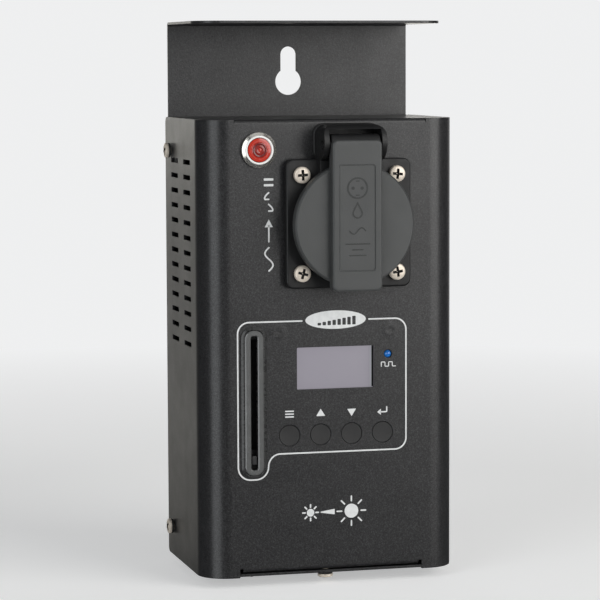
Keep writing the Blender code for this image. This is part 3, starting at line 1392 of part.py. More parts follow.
def make_button(number, place, on, finishes, seat):
    """One button: a cap with a lip behind the sheet, and a plunger that runs in its switch."""
    lip_front = -SHEET - RUN_GAP
    lip_back = lip_front - BUTTON_LIP_THICKNESS
    end = lip_back - PLUNGER_LENGTH
    profile = [
        (0, 0),
        (BUTTON_RADIUS - BUTTON_BEVEL, 0),
        (BUTTON_RADIUS, -BUTTON_BEVEL),
        (BUTTON_RADIUS, lip_front),
        (BUTTON_LIP_RADIUS, lip_front),
        (BUTTON_LIP_RADIUS, lip_back),
        (PLUNGER_RADIUS, lip_back),
        (PLUNGER_RADIUS, end),
        (0, end),
    ]
    part(f"button_{number}", turned(f"button_{number}", profile, ROUND_STEPS), finishes["button"], on, place)
    half = SWITCH_SIZE / 2
    top = seat + SWITCH_HEIGHT
    switch = part(
        f"button_switch_{number}",
        box(f"button_switch_{number}", (-half, -half, seat), (half, half, top)),
        finishes["moulding"], on, place,
    )
    floor = end - BUTTON_TRAVEL - FIT_GAP
    bore = cylinder(f"switch_bore_{number}", PLUNGER_RADIUS + FIT_GAP, floor, top + CLEAR_OF_CUT)
    cut(switch, helper(bore, on, place))


def make_power_board(views, finishes):
    """The power board on the back plate's studs, and the heavy parts on it."""
    on = views["back"]
    rise = POWER_BOARD_RISE
    top = rise + BOARD_THICKNESS
    seat = top + FIT_GAP
    holes = [circle(spot, STUD_PIN_RADIUS + FIT_GAP) for spot in power_stud_places()]
    middle = (0, (POWER_BOARD_TOP + POWER_BOARD_BOTTOM) / 2)
    length = POWER_BOARD_TOP - POWER_BOARD_BOTTOM
    edge = rounded(2 * POWER_BOARD_HALF_WIDTH, length, STUD_RADIUS, middle, steps=2)
    part("power_board", plate("power_board", [edge] + holes, rise, top), finishes["board"], on)
    make_heat_sink(on, finishes, seat)
    core = [
        (CHOKE_BORE_RADIUS, seat + CHOKE_HEIGHT),
        (CHOKE_RADIUS, seat + CHOKE_HEIGHT),
        (CHOKE_RADIUS, seat),
        (CHOKE_BORE_RADIUS, seat),
        (CHOKE_BORE_RADIUS, seat + CHOKE_HEIGHT),
    ]
    choke = part("choke", turned("choke", core, SMALL_STEPS), finishes["winding"], on, (CHOKE_X, CHOKE_Z, 0))
    bevel(choke, CHOKE_HEIGHT / 5, 2)
    case = part(
        "capacitor",
        box(
            "capacitor",
            (-CAPACITOR_WIDTH / 2, -CAPACITOR_THICKNESS / 2, seat),
            (CAPACITOR_WIDTH / 2, CAPACITOR_THICKNESS / 2, seat + CAPACITOR_HEIGHT),
        ),
        finishes["film"], on, (CAPACITOR_X, CAPACITOR_Z, 0),
    )
    bevel(case, BEND_RADIUS / 3, 1)
    make_terminal_block(on, finishes["terminal"], seat)


def make_heat_sink(on, finishes, seat):
    """A finned extrusion that stands on the power board, with two transistors on its flat side."""
    half = HEAT_SINK_WIDTH / 2
    back = HEAT_SINK_BASE
    points = [(half - back, seat), (half, seat), (half, seat + HEAT_SINK_HEIGHT)]
    points.append((half - back, seat + HEAT_SINK_HEIGHT))
    step = (HEAT_SINK_HEIGHT - FIN_THICKNESS) / (FIN_COUNT - 1)
    for fin in reversed(range(FIN_COUNT)):
        low = seat + fin * step
        points += [(-half, low + FIN_THICKNESS), (-half, low)]
        if fin:
            points += [(half - back, low), (half - back, low - step + FIN_THICKNESS)]
    points = points[:3] + points[4:-1] + [(-half, seat)]
    low = -HEAT_SINK_LENGTH / 2
    sink = plate("heat_sink", [points], low, -low)
    turn = (math.pi / 2, 0, 0)
    part("heat_sink", sink, finishes["aluminium"], on, (HEAT_SINK_X, HEAT_SINK_Z, 0), turn)
    face = HEAT_SINK_X + half + FIT_GAP
    for number, z in enumerate(TRANSISTOR_Z, 1):
        body = box(
            f"power_transistor_{number}",
            (0, -TRANSISTOR_WIDTH / 2, seat),
            (TRANSISTOR_THICKNESS, TRANSISTOR_WIDTH / 2, seat + TRANSISTOR_HEIGHT),
        )
        part(f"power_transistor_{number}", body, finishes["moulding"], on, (face, HEAT_SINK_Z + z, 0))


def make_terminal_block(on, finish, seat):
    """A row of screw terminals on the power board."""
    half = TERMINAL_WIDTH / 2
    block = part(
        "terminal_block",
        box(
            "terminal_block",
            (-half, -TERMINAL_DEPTH / 2, seat),
            (half, TERMINAL_DEPTH / 2, seat + TERMINAL_HEIGHT),
        ),
        finish, on, (TERMINAL_X, TERMINAL_Z, 0),
    )
    pitch = TERMINAL_WIDTH / TERMINAL_WAYS
    wells = [circle((-half + (way + 0.5) * pitch, 0), pitch / 3, 12) for way in range(TERMINAL_WAYS)]
    top = seat + TERMINAL_HEIGHT
    drill = plate("terminal_wells", wells, top - TERMINAL_HEIGHT / 2, top + CLEAR_OF_CUT)
    cut(block, helper(drill, on, (TERMINAL_X, TERMINAL_Z, 0)))


def control_pins():
    """The three contacts of a control connector, from its centre."""
    return [(-CONTROL_PIN_SPREAD, 0.0), (CONTROL_PIN_SPREAD, 0.0), (0.0, CONTROL_PIN_SPREAD)]


def control_screws():
    """The two screws of a control connector, from its centre."""
    return [(-CONTROL_SCREW_X, CONTROL_SCREW_Y), (CONTROL_SCREW_X, -CONTROL_SCREW_Y)]


def connector_shell(name, on, finish):
    """The flange and barrel that both control connectors share, still solid."""
    front = FIT_GAP + CONTROL_FLANGE_THICKNESS
    outline = [rounded(CONTROL_FLANGE_WIDTH, CONTROL_FLANGE_LENGTH, CONTROL_FLANGE_CORNER)]
    outline += [circle(place, SHANK_HOLE_RADIUS) for place in control_screws()]
    shell = part(name, plate(name, outline, FIT_GAP, front), finish, on)
    barrel = cylinder(
        f"{name}_barrel", CONTROL_BARREL_RADIUS, -CONTROL_BARREL_LENGTH, FIT_GAP + OVERLAP, ROUND_STEPS
    )
    join(shell, helper(barrel, on))
    return shell, front


def make_control_connectors(views, finishes):
    """The control input with its pins and the control output with its latch."""
    on = views["control_in"]
    shell, front = connector_shell("control_in_connector", on, finishes["steel"])
    floor = front - CONTROL_BORE_DEPTH
    bore = cylinder("control_in_bore", CONTROL_BORE_RADIUS, floor, front + CLEAR_OF_CUT, ROUND_STEPS)
    cut(shell, helper(bore, on))
    for number, (x, y) in enumerate(control_pins(), 1):
        name = f"control_pin_{number}"
        pin = cylinder(name, CONTROL_PIN_RADIUS, floor - OVERLAP, front - CONTROL_PIN_RECESS, 12)
        join(shell, helper(pin, on, (x, y, 0)))
    on = views["control_out"]
    shell, front = connector_shell("control_out_connector", on, finishes["steel"])
    ring = [circle((0, 0), radius, ROUND_STEPS) for radius in (CONTROL_BORE_RADIUS, CONTROL_NOSE_RADIUS)]
    groove = plate("control_out_groove", ring, front - CONTROL_BORE_DEPTH, front + CLEAR_OF_CUT)
    holes = [circle(place, CONTROL_SOCKET_RADIUS, 12) for place in control_pins()]
    drill = plate("control_out_holes", holes, front - CONTROL_BORE_DEPTH, front + CLEAR_OF_CUT)
    half_width = LATCH_WIDTH / 2
    half_length = LATCH_LENGTH / 2
    low = (-half_width - FIT_GAP, -half_length - FIT_GAP, -CLEAR_OF_CUT)
    high = (half_width + FIT_GAP, half_length + FIT_GAP, front + CLEAR_OF_CUT)
    at = (0, LATCH_OFFSET, 0)
    cut(
        shell,
        helper(groove, on),
        helper(drill, on),
        helper(box("latch_slot", low, high), on, at),
    )
    tip = front + LATCH_TRAVEL + SHEET_GAP
    latch = box(
        "control_out_latch",
        (-half_width, -half_length, tip - LATCH_DEPTH),
        (half_width, half_length, tip),
    )
    part("control_out_latch", latch, finishes["steel"], on, at)


def make_inlet(views, finishes):
    """The mains inlet with its three blades, the fuse drawer beside it and the fuse."""
    on = views["inlet"]
    front = FIT_GAP + INLET_FLANGE_THICKNESS
    holes = [circle((0, sign * INLET_SCREW_PITCH / 2), SHANK_HOLE_RADIUS) for sign in (-1, 1)]
    outline = [rounded(INLET_FLANGE_WIDTH, INLET_FLANGE_LENGTH, INLET_FLANGE_CORNER)] + holes
    inlet = part("mains_inlet", plate("mains_inlet", outline, FIT_GAP, front), finishes["moulding"], on)
    half_width = INLET_BODY_WIDTH / 2
    half_length = INLET_BODY_LENGTH / 2
    join(inlet, helper(box(
        "inlet_body",
        (-half_width, -half_length, -INLET_BODY_DEPTH),
        (half_width, half_length, FIT_GAP + OVERLAP),
    ), on))
    floor = front - INLET_RECESS_DEPTH
    rx, ry = INLET_RECESS_WIDTH / 2, INLET_RECESS_LENGTH / 2
    chamfer = INLET_RECESS_CHAMFER
    upper = [(rx, ry), (-rx + chamfer, ry), (-rx, ry - chamfer)]
    recess = upper + [(x, -y) for x, y in upper[::-1]]
    recess = plate("inlet_recess", [recess], floor, front + CLEAR_OF_CUT)
    drawer_back = front - DRAWER_DEPTH
    drawer_hole = (DRAWER_WIDTH / 2 + FIT_GAP, DRAWER_LENGTH / 2 + FIT_GAP)
    slot = box(
        "drawer_slot",
        (-drawer_hole[0], -drawer_hole[1], drawer_back - FIT_GAP),
        (*drawer_hole, front + CLEAR_OF_CUT),
    )
    cut(inlet, helper(recess, on, (INLET_RECESS_X, 0, 0)), helper(slot, on, (DRAWER_X, 0, 0)))
    for name, x, y in (
        ("live", -BLADE_WIDTH / 2, BLADE_PITCH / 2),
        ("neutral", -BLADE_WIDTH / 2, -BLADE_PITCH / 2),
        ("earth", BLADE_WIDTH / 2, 0.0),
    ):
        low = (-BLADE_WIDTH / 2, -BLADE_THICKNESS / 2, floor - OVERLAP)
        high = (BLADE_WIDTH / 2, BLADE_THICKNESS / 2, front - BLADE_RECESS)
        blade = box(f"inlet_{name}_blade", low, high)
        join(inlet, helper(blade, on, (INLET_RECESS_X + x, y, 0)))
    drawer = part(
        "fuse_drawer",
        box(
            "fuse_drawer",
            (-DRAWER_WIDTH / 2, -DRAWER_LENGTH / 2, drawer_back),
            (DRAWER_WIDTH / 2, DRAWER_LENGTH / 2, front + DRAWER_HEAD),
        ),
        finishes["moulding"], on, (DRAWER_X, 0, 0),
    )
    fuse_z = drawer_back + 2 * FUSE_RADIUS
    pocket_half = FUSE_RADIUS + FIT_GAP
    cut(drawer, helper(box(
        "fuse_pocket",
        (-pocket_half, -FUSE_LENGTH / 2 - FIT_GAP, fuse_z - pocket_half),
        (DRAWER_WIDTH, FUSE_LENGTH / 2 + FIT_GAP, fuse_z + pocket_half),
    ), on, (DRAWER_X, 0, 0)))
    fuse = cylinder("fuse", FUSE_RADIUS, -FUSE_LENGTH / 2, FUSE_LENGTH / 2)
    part("fuse", fuse, finishes["fuse"], on, (DRAWER_X, 0, fuse_z), (math.pi / 2, 0, 0))


def make_connector_screws(views, finish):
    """Two screws for each connector in the bottom plate."""
    mesh = screw_mesh(
        "connector_screw", CONNECTOR_SCREW_HEAD_RADIUS, CONNECTOR_SCREW_HEAD_HEIGHT, CONNECTOR_SCREW_LENGTH
    )
    seat = CONTROL_FLANGE_THICKNESS + 2 * FIT_GAP
    for owner in ("control_in", "control_out"):
        for number, (x, y) in enumerate(control_screws(), 1):
            part(f"{owner}_screw_{number}", mesh, finish, views[owner], (x, y, seat))
    seat = INLET_FLANGE_THICKNESS + 2 * FIT_GAP
    for number, sign in enumerate((1, -1), 1):
        place = (0, sign * INLET_SCREW_PITCH / 2, seat)
        part(f"inlet_screw_{number}", mesh, finish, views["inlet"], place)


def main():
    """Builds the dimmer pack from the case inwards."""
    clear_scene()
    views = make_frames()
    finishes = make_finishes()
    make_cover(views, finishes["coat"])
    make_chassis(views, finishes["coat"])
    make_case_screws(views, finishes["nickel"])
    make_outlet(views, finishes)
    make_lid(views, finishes)
    make_lamp(views, finishes)
    make_fader(views, finishes)
    make_controls(views, finishes)
    make_power_board(views, finishes)
    make_control_connectors(views, finishes)
    make_inlet(views, finishes)
    make_connector_screws(views, finishes["nickel"])


main()
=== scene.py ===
"""The looks of a wall-hung dimmer pack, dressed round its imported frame.

Metres, +Z up. The wall is at +Y and the front faces -Y, with +X to the right of someone who faces it.
Shapes are drawn flat in a view of the pack (front, side, under), where x runs right, y runs up and z comes
out towards the reader, and each view then puts them in their place.
"""

from __future__ import annotations

import logging
import math
from abc import ABC, abstractmethod
from dataclasses import dataclass, field, replace
from enum import Enum
from typing import Optional, Sequence, Union

import bmesh
import bpy
import numpy as np
from mathutils import Matrix
from mathutils.geometry import delaunay_2d_cdt


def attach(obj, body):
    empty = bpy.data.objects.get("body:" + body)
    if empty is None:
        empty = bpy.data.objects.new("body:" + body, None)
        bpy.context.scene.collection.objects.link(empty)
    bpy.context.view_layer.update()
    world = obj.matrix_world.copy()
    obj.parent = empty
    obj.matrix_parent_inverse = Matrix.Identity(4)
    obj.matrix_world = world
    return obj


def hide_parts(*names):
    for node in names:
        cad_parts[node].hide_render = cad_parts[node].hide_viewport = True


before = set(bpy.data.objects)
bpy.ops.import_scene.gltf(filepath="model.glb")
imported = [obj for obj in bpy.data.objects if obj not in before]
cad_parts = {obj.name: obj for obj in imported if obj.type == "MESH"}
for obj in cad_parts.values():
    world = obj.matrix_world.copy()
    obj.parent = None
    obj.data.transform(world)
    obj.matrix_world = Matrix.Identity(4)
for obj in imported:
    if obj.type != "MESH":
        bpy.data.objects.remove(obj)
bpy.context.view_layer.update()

LOG = logging.getLogger("dimmer_pack")
WELD_DISTANCE = 1e-7
SIDES = (-1, 1)

Array = np.ndarray
Colour = tuple[float, float, float]
Place = tuple[float, float, float]
Point = tuple[float, float]
Mesh = bpy.types.Mesh
Socket = bpy.types.NodeSocket


class Body(Enum):
    """The bodies of the frame that a piece can ride on."""

    CASE = "case"
    LID = "lid"
    LEVER = "lever"
    FIRST_BUTTON = "first_button"
    SECOND_BUTTON = "second_button"
    THIRD_BUTTON = "third_button"
    FOURTH_BUTTON = "fourth_button"
    LATCH = "latch"
    DRAWER = "drawer"


# Surfaces


@dataclass(frozen=True)
class View:
    """A flat place on the pack: x runs right, y runs up, and z comes out towards the reader."""

    origin: Place
    right: Place
    up: Place

    @property
    def axes(self) -> Array:
        """The directions of x, y and z, one to a row."""
        return np.array([self.right, self.up, np.cross(self.right, self.up)])

    def world(self, points: Array) -> Array:
        """Points of the view in the row frame: origin + x right + y up + z out."""
        return np.asarray(self.origin) + np.asarray(points) @ self.axes

    def local(self, points: Array) -> Array:
        """Points of the row frame in the view's own measures."""
        return (np.asarray(points) - np.asarray(self.origin)) @ self.axes.T

    def at(self, x: float, y: float, z: float = 0.0) -> View:
        """The same view with its origin moved within itself."""
        return View(tuple(self.world(np.array([x, y, z]))), self.right, self.up)

    def turned(self, degrees: float) -> View:
        """The same view turned about its own out axis: right goes to cos a right + sin a up.

        Args:
            degrees: The turn a, anticlockwise.

        Returns:
            The turned view.
        """
        angle = math.radians(degrees)
        right, up = np.array(self.right), np.array(self.up)
        new_right = math.cos(angle) * right + math.sin(angle) * up
        new_up = math.cos(angle) * up - math.sin(angle) * right
        return View(self.origin, tuple(new_right), tuple(new_up))


@dataclass(frozen=True)
class Surface:
    """Points with the quads and triangles between them, before they become a mesh."""

    points: Array
    quads: Array = field(default_factory=lambda: np.zeros((0, 4), int))
    triangles: Array = field(default_factory=lambda: np.zeros((0, 3), int))

    def flipped(self) -> Surface:
        """The same surface with every face turned round."""
        return Surface(self.points, self.quads[:, ::-1], self.triangles[:, ::-1])

    def outward(self) -> Surface:
        """The same closed surface facing out, so that its volume isn't below nothing.

        Returns:
            The surface, flipped if the sum over its triangles a, b, c of a . (b x c) is negative.
        """
        split = np.vstack([self.quads[:, [0, 1, 2]], self.quads[:, [0, 2, 3]], self.triangles])
        a, b, c = (self.points[split[:, i]] for i in range(3))
        return self.flipped() if np.einsum("ij,ij->i", a, np.cross(b, c)).sum() < 0 else self

    def flattened(self, share: float) -> Surface:
        """The same surface with every height multiplied by the share."""
        return Surface(self.points * (1, 1, share), self.quads, self.triangles)

    def placed(self, view: View) -> Surface:
        """The surface, drawn in a view, in the row frame."""
        return Surface(view.world(self.points), self.quads, self.triangles)

    def mesh(self, name: str) -> Mesh:
        """A Blender mesh of the surface, with its seams and poles welded.

        Args:
            name: The mesh's name.

        Returns:
            The mesh.
        """
        mesh = bpy.data.meshes.new(name)
        mesh.from_pydata(self.points.tolist(), [], self.quads.tolist() + self.triangles.tolist())
        work = bmesh.new()
        work.from_mesh(mesh)
        bmesh.ops.remove_doubles(work, verts=work.verts, dist=WELD_DISTANCE)
        bmesh.ops.dissolve_degenerate(work, edges=work.edges, dist=WELD_DISTANCE)
        bmesh.ops.delete(work, geom=[vert for vert in work.verts if not vert.link_faces], context="VERTS")
        work.to_mesh(mesh)
        work.free()
        return mesh


def joined(surfaces: Sequence[Surface]) -> Surface:
    """Several surfaces as one, side by side.

    Args:
        surfaces: The surfaces, each closed by itself.

    Returns:
        One surface that holds them all.
    """
    starts = np.cumsum([0] + [len(s.points) for s in surfaces[:-1]])
    return Surface(
        np.vstack([s.points for s in surfaces]),
        np.vstack([s.quads + start for s, start in zip(surfaces, starts)]),
        np.vstack([s.triangles + start for s, start in zip(surfaces, starts)]),
    )


def grid(points: Array, close_rows: bool = False, close_columns: bool = False) -> Surface:
    """Quads over a (rows, columns, 3) grid of points.

    Args:
        points: The grid, a function of two parameters worked out over all rows and columns.
        close_rows: Whether the last row meets the first.
        close_columns: Whether the last column meets the first.

    Returns:
        The surface, facing the side from which the columns run right and the rows run up.
    """
    rows, columns = points.shape[:2]
    index = np.arange(rows * columns).reshape(rows, columns)
    if close_rows:
        index = np.vstack([index, index[:1]])
    if close_columns:
        index = np.hstack([index, index[:, :1]])
    corners = (index[:-1, :-1], index[:-1, 1:], index[1:, 1:], index[1:, :-1])
    return Surface(points.reshape(-1, 3), np.stack(corners, axis=-1).reshape(-1, 4))


def arc(centre: Point, radius: float, start: float, end: float, steps: int = 8) -> Array:
    """Points along an arc: centre + radius (cos a, sin a) for a from start to end, in degrees."""
    angles = np.radians(np.linspace(start, end, steps + 1))
    return np.asarray(centre) + radius * np.stack([np.cos(angles), np.sin(angles)], axis=1)


def spread(x: Union[float, Array], y: Union[float, Array]) -> Array:
    """The points, (n, 2), of an array of one measure and a single value or as many of the other."""
    return np.column_stack(np.broadcast_arrays(x, y))


def filleted(corners: Sequence[Point], radii: Union[float, Sequence[float]], steps: int = 4,
             closed: bool = False) -> Array:
    """A line whose corners are arcs.

    An arc leaves its two sides r / tan(half the corner's angle) from the corner, and its points are
    the centre plus the two end spokes mixed by sines, so they lie on the circle.

    Args:
        corners: The line's corners.
        radii: One radius, or one for each corner; a corner with none stays sharp.
        steps: Straight pieces in each arc.
        closed: Whether the line is a ring.

    Returns:
        The points of the line, (n, 2).
    """
    points = np.asarray(corners, float)
    count = len(points)
    pieces = []
    for i, size in enumerate(np.broadcast_to(np.asarray(radii, float), (count,))):
        pieces.append(points[i][None])
        if size <= 0 or (not closed and i in (0, count - 1)):
            continue
        back, ahead = points[i - 1] - points[i], points[(i + 1) % count] - points[i]
        back, ahead = back / np.linalg.norm(back), ahead / np.linalg.norm(ahead)
        corner = math.acos(float(np.clip(back @ ahead, -1, 1)))
        if corner > math.radians(178):
            continue
        run = size / math.tan(corner / 2)
        centre = points[i] + (back + ahead) / np.linalg.norm(back + ahead) * size / math.sin(corner / 2)
        first, last = points[i] + back * run - centre, points[i] + ahead * run - centre
        sweep = math.pi - corner
        share = np.linspace(0, 1, steps + 1)[:, None]
        spokes = (np.sin((1 - share) * sweep) * first + np.sin(share * sweep) * last) / math.sin(sweep)
        pieces[-1] = centre + spokes
    return np.vstack(pieces)


class Outline(ABC):
    """A closed flat outline, anticlockwise, that can be drawn again further in or out."""

    @abstractmethod
    def ring(self, inset: float = 0.0) -> Array:
        """The outline's points, (n, 2), moved inwards by the inset, or outwards if it is negative."""


@dataclass(frozen=True)
class Round(Outline):
    """A circle."""

    radius: float
    x: float = 0.0
    y: float = 0.0
    steps: int = 48

    def ring(self, inset: float = 0.0) -> Array:
        """A circle whose radius is smaller by the inset."""
        return arc((self.x, self.y), self.radius - inset, 0, 360, self.steps)[:-1]


@dataclass(frozen=True)
class Panel(Outline):
    """A rectangle with round corners."""

    width: float
    height: float
    radius: float
    x: float = 0.0
    y: float = 0.0
    steps: int = 6

    def ring(self, inset: float = 0.0) -> Array:
        """A smaller rectangle, its corner radius smaller by the inset too.

        Args:
            inset: How far it lies further in.

        Returns:
            The points of its four corner arcs.
        """
        radius = max(self.radius - inset, 1e-6)
        x, y = self.width / 2 - inset - radius, self.height / 2 - inset - radius
        return np.vstack([
            arc((self.x + a * x, self.y + b * y), radius, start, start + 90, self.steps)
            for start, a, b in ((0, 1, 1), (90, -1, 1), (180, -1, -1), (270, 1, -1))
        ])


@dataclass(frozen=True)
class Traced(Outline):
    """An outline given by its points."""

    points: Array

    def ring(self, inset: float = 0.0) -> Array:
        """Each point moved along the mitre of its two sides: (m + n) / (1 + m . n), m and n their normals.

        Args:
            inset: How far the sides move in.

        Returns:
            The moved points.
        """
        if inset == 0:
            return self.points
        sides = np.roll(self.points, -1, axis=0) - self.points
        sides /= np.linalg.norm(sides, axis=1, keepdims=True)
        normals = np.stack([-sides[:, 1], sides[:, 0]], axis=1)
        before = np.roll(normals, 1, axis=0)
        turn = 1 + np.einsum("ij,ij->i", before, normals)
        return self.points + inset * (before + normals) / np.maximum(turn, 0.3)[:, None]


def inside(points: Array, ring: Array) -> Array:
    """Whether points lie in a ring: a ray to the right crosses its sides an odd number of times.

    Args:
        points: The points, (n, 2).
        ring: The ring's points.

    Returns:
        True or false for each point.
    """
    x, y = points[:, :1], points[:, 1:]
    x0, y0 = ring[:, 0], ring[:, 1]
    x1, y1 = np.roll(x0, -1), np.roll(y0, -1)
    spans = (y0 > y) != (y1 > y)
    crossing = x0 + (y - y0) * (x1 - x0) / np.where(y1 == y0, 1.0, y1 - y0)
    return (spans & (x < crossing)).sum(axis=1) % 2 == 1


def filling(rings: Sequence[Array], extra: Optional[Array], lines: Sequence[Sequence[Point]]
            ) -> tuple[Array, Array]:
    """Triangles that fill the first ring, less the rings of its holes.

    A constrained Delaunay triangulation joins all the points, and a triangle stays where its middle lies in
    the first ring and in no hole.

    Args:
        rings: The outer ring and then the holes.
        extra: Loose points within the rings, to be joined in.
        lines: Straight lines across the outer ring, each between the two of its points nearest to a pair.

    Returns:
        The points, (n, 2), and the triangles, (m, 3).
    """
    points = np.vstack(list(rings) + ([extra] if extra is not None else []))
    starts = np.cumsum([0] + [len(r) for r in rings[:-1]])
    edges = []
    for start, ring in zip(starts, rings):
        index = np.arange(len(ring))
        edges.append(spread(start + index, start + (index + 1) % len(ring)))
    for line in lines:
        reach = np.linalg.norm(rings[0][None] - np.asarray(line)[:, None], axis=2)
        edges.append(reach.argmin(axis=1)[None])
    made = delaunay_2d_cdt(points.tolist(), np.vstack(edges).tolist(), [], 0, 1e-8)
    flat = np.array([tuple(v) for v in made[0]])
    triangles = np.array([tuple(face) for face in made[2]])
    source = np.array([ids[0] if ids else -1 for ids in made[3]])
    flat[source >= 0] = points[source[source >= 0]]
    middles = flat[triangles].mean(axis=1)
    keep = inside(middles, rings[0])
    for hole in rings[1:]:
        keep &= ~inside(middles, hole)
    return flat, triangles[keep]


def rim_profile(low: float, high: float, rim: float, back_rim: float, steps: int) -> Array:
    """A wall's (inset, height) profile from its back to its front, with a quarter round at each end.

    Args:
        low: The height of the back.
        high: The height of the front.
        rim: The front's rounding.
        back_rim: The back's rounding.
        steps: Straight pieces in each.

    Returns:
        The profile, (n, 2).
    """
    turn = np.linspace(0, math.pi / 2, steps + 1)
    back = np.stack([back_rim * (1 - np.sin(turn)), low + back_rim * (1 - np.cos(turn))], axis=1)
    front = np.stack([rim * (1 - np.cos(turn)), high - rim * (1 - np.sin(turn))], axis=1)
    return np.vstack([back if back_rim else back[-1:], front if rim else front[:1]])


def slab(outer: Outline, low: float, high: float, holes: Sequence[Outline] = (), rim: float = 0.0,
         back_rim: Optional[float] = None, steps: int = 3, extra: Optional[Array] = None,
         lines: Sequence[Sequence[Point]] = ()) -> Surface:
    """A plate between two heights: a profile with round rims carried along each outline, and flat caps.

    Args:
        outer: The plate's outline.
        low: The height of its back.
        high: The height of its front.
        holes: The outlines of its holes.
        rim: The rounding of its front rims.
        back_rim: The rounding of its back rims, as the front's if left out.
        steps: Straight pieces in each rounding.
        extra: Loose points that its caps take up.
        lines: Lines across its caps, as filling takes them.

    Returns:
        The closed surface, facing out.
    """
    profile = rim_profile(low, high, rim, rim if back_rim is None else back_rim, steps)
    pieces = []
    for outline, sign in [(outer, 1)] + [(hole, -1) for hole in holes]:
        rings = np.stack([outline.ring(sign * inset) for inset in profile[:, 0]])
        heights = np.broadcast_to(profile[:, 1][:, None, None], rings.shape[:2] + (1,))
        wall = grid(np.concatenate([rings, heights], axis=2), close_columns=True)
        pieces.append(wall if sign > 0 else wall.flipped())
    for row, up in ((-1, True), (0, False)):
        inset, height = profile[row]
        rings = [outer.ring(inset)] + [hole.ring(-inset) for hole in holes]
        flat, triangles = filling(rings, extra, lines)
        cap = Surface(np.column_stack([flat, np.full(len(flat), height)]), triangles=triangles)
        pieces.append(cap if up else cap.flipped())
    return joined(pieces)


def lathe(profile: Union[Array, Sequence[Point]], steps: int = 64, x: float = 0.0, y: float = 0.0,
          closed: bool = False) -> Surface:
    """A profile of (radius, height) points turned round the out axis.

    The point of the profile at (r, h) is at (r cos a, r sin a, h) for each angle a all the way round.

    Args:
        profile: The profile, from axis to axis, or a ring.
        steps: Angles all round.
        x: The axis's place, to the right.
        y: The axis's place, upwards.
        closed: Whether the profile is a ring.

    Returns:
        The closed surface, facing out.
    """
    profile = np.asarray(profile, float)
    angles = np.linspace(0, 2 * math.pi, steps, endpoint=False)
    radius, height = profile[:, :1], profile[:, 1:]
    across, upwards = x + radius * np.cos(angles), y + radius * np.sin(angles)
    points = np.stack(np.broadcast_arrays(across, upwards, height), axis=2)
    return grid(points, close_rows=closed, close_columns=True).outward()


def stroke(path: Union[Array, Sequence[Point]], width: float) -> Outline:
    """The outline of a line of print: both sides of its path at half the width, joined by round ends.

    Args:
        path: The points of the line's middle.
        width: Its width.

    Returns:
        The outline.
    """
    path = np.asarray(path, float)
    along = np.gradient(path, axis=0)
    along /= np.linalg.norm(along, axis=1, keepdims=True)
    side = width / 2 * np.stack([-along[:, 1], along[:, 0]], axis=1)
    heading = np.degrees(np.arctan2(along[:, 1], along[:, 0]))
    start, end = (
        arc(tuple(path[i]), width / 2, heading[i] + turn, heading[i] + turn + 180, 6)[1:-1]
        for i, turn in ((0, 90), (-1, -90))
    )
    return Traced(np.vstack([path - side, end, (path + side)[::-1], start]))


def carved(name: str, base: Surface, cuts: Sequence[Surface]) -> Mesh:
    """A closed surface less others that overlap it.

    Args:
        name: The mesh's name.
        base: The surface that is cut, in the row frame.
        cuts: What is cut from it, in the row frame too.

    Returns:
        The closed mesh that stays.
    """
    items = []
    for label, surface in [(name, base)] + [("cutter", cut) for cut in cuts]:
        items.append(bpy.data.objects.new(label, surface.mesh(label)))
        bpy.context.scene.collection.objects.link(items[-1])
    for cutter in items[1:]:
        modifier = items[0].modifiers.new("cut", "BOOLEAN")
        modifier.operation = "DIFFERENCE"
        modifier.solver = "EXACT"
        modifier.object = cutter
    bpy.context.view_layer.update()
    graph = bpy.context.evaluated_depsgraph_get()
    mesh = bpy.data.meshes.new_from_object(items[0].evaluated_get(graph))
    mesh.name = name
    for item in items:
        bpy.data.objects.remove(item, do_unlink=True)
    return mesh


# Finishes

BACKDROP = (0.86, 0.865, 0.87)


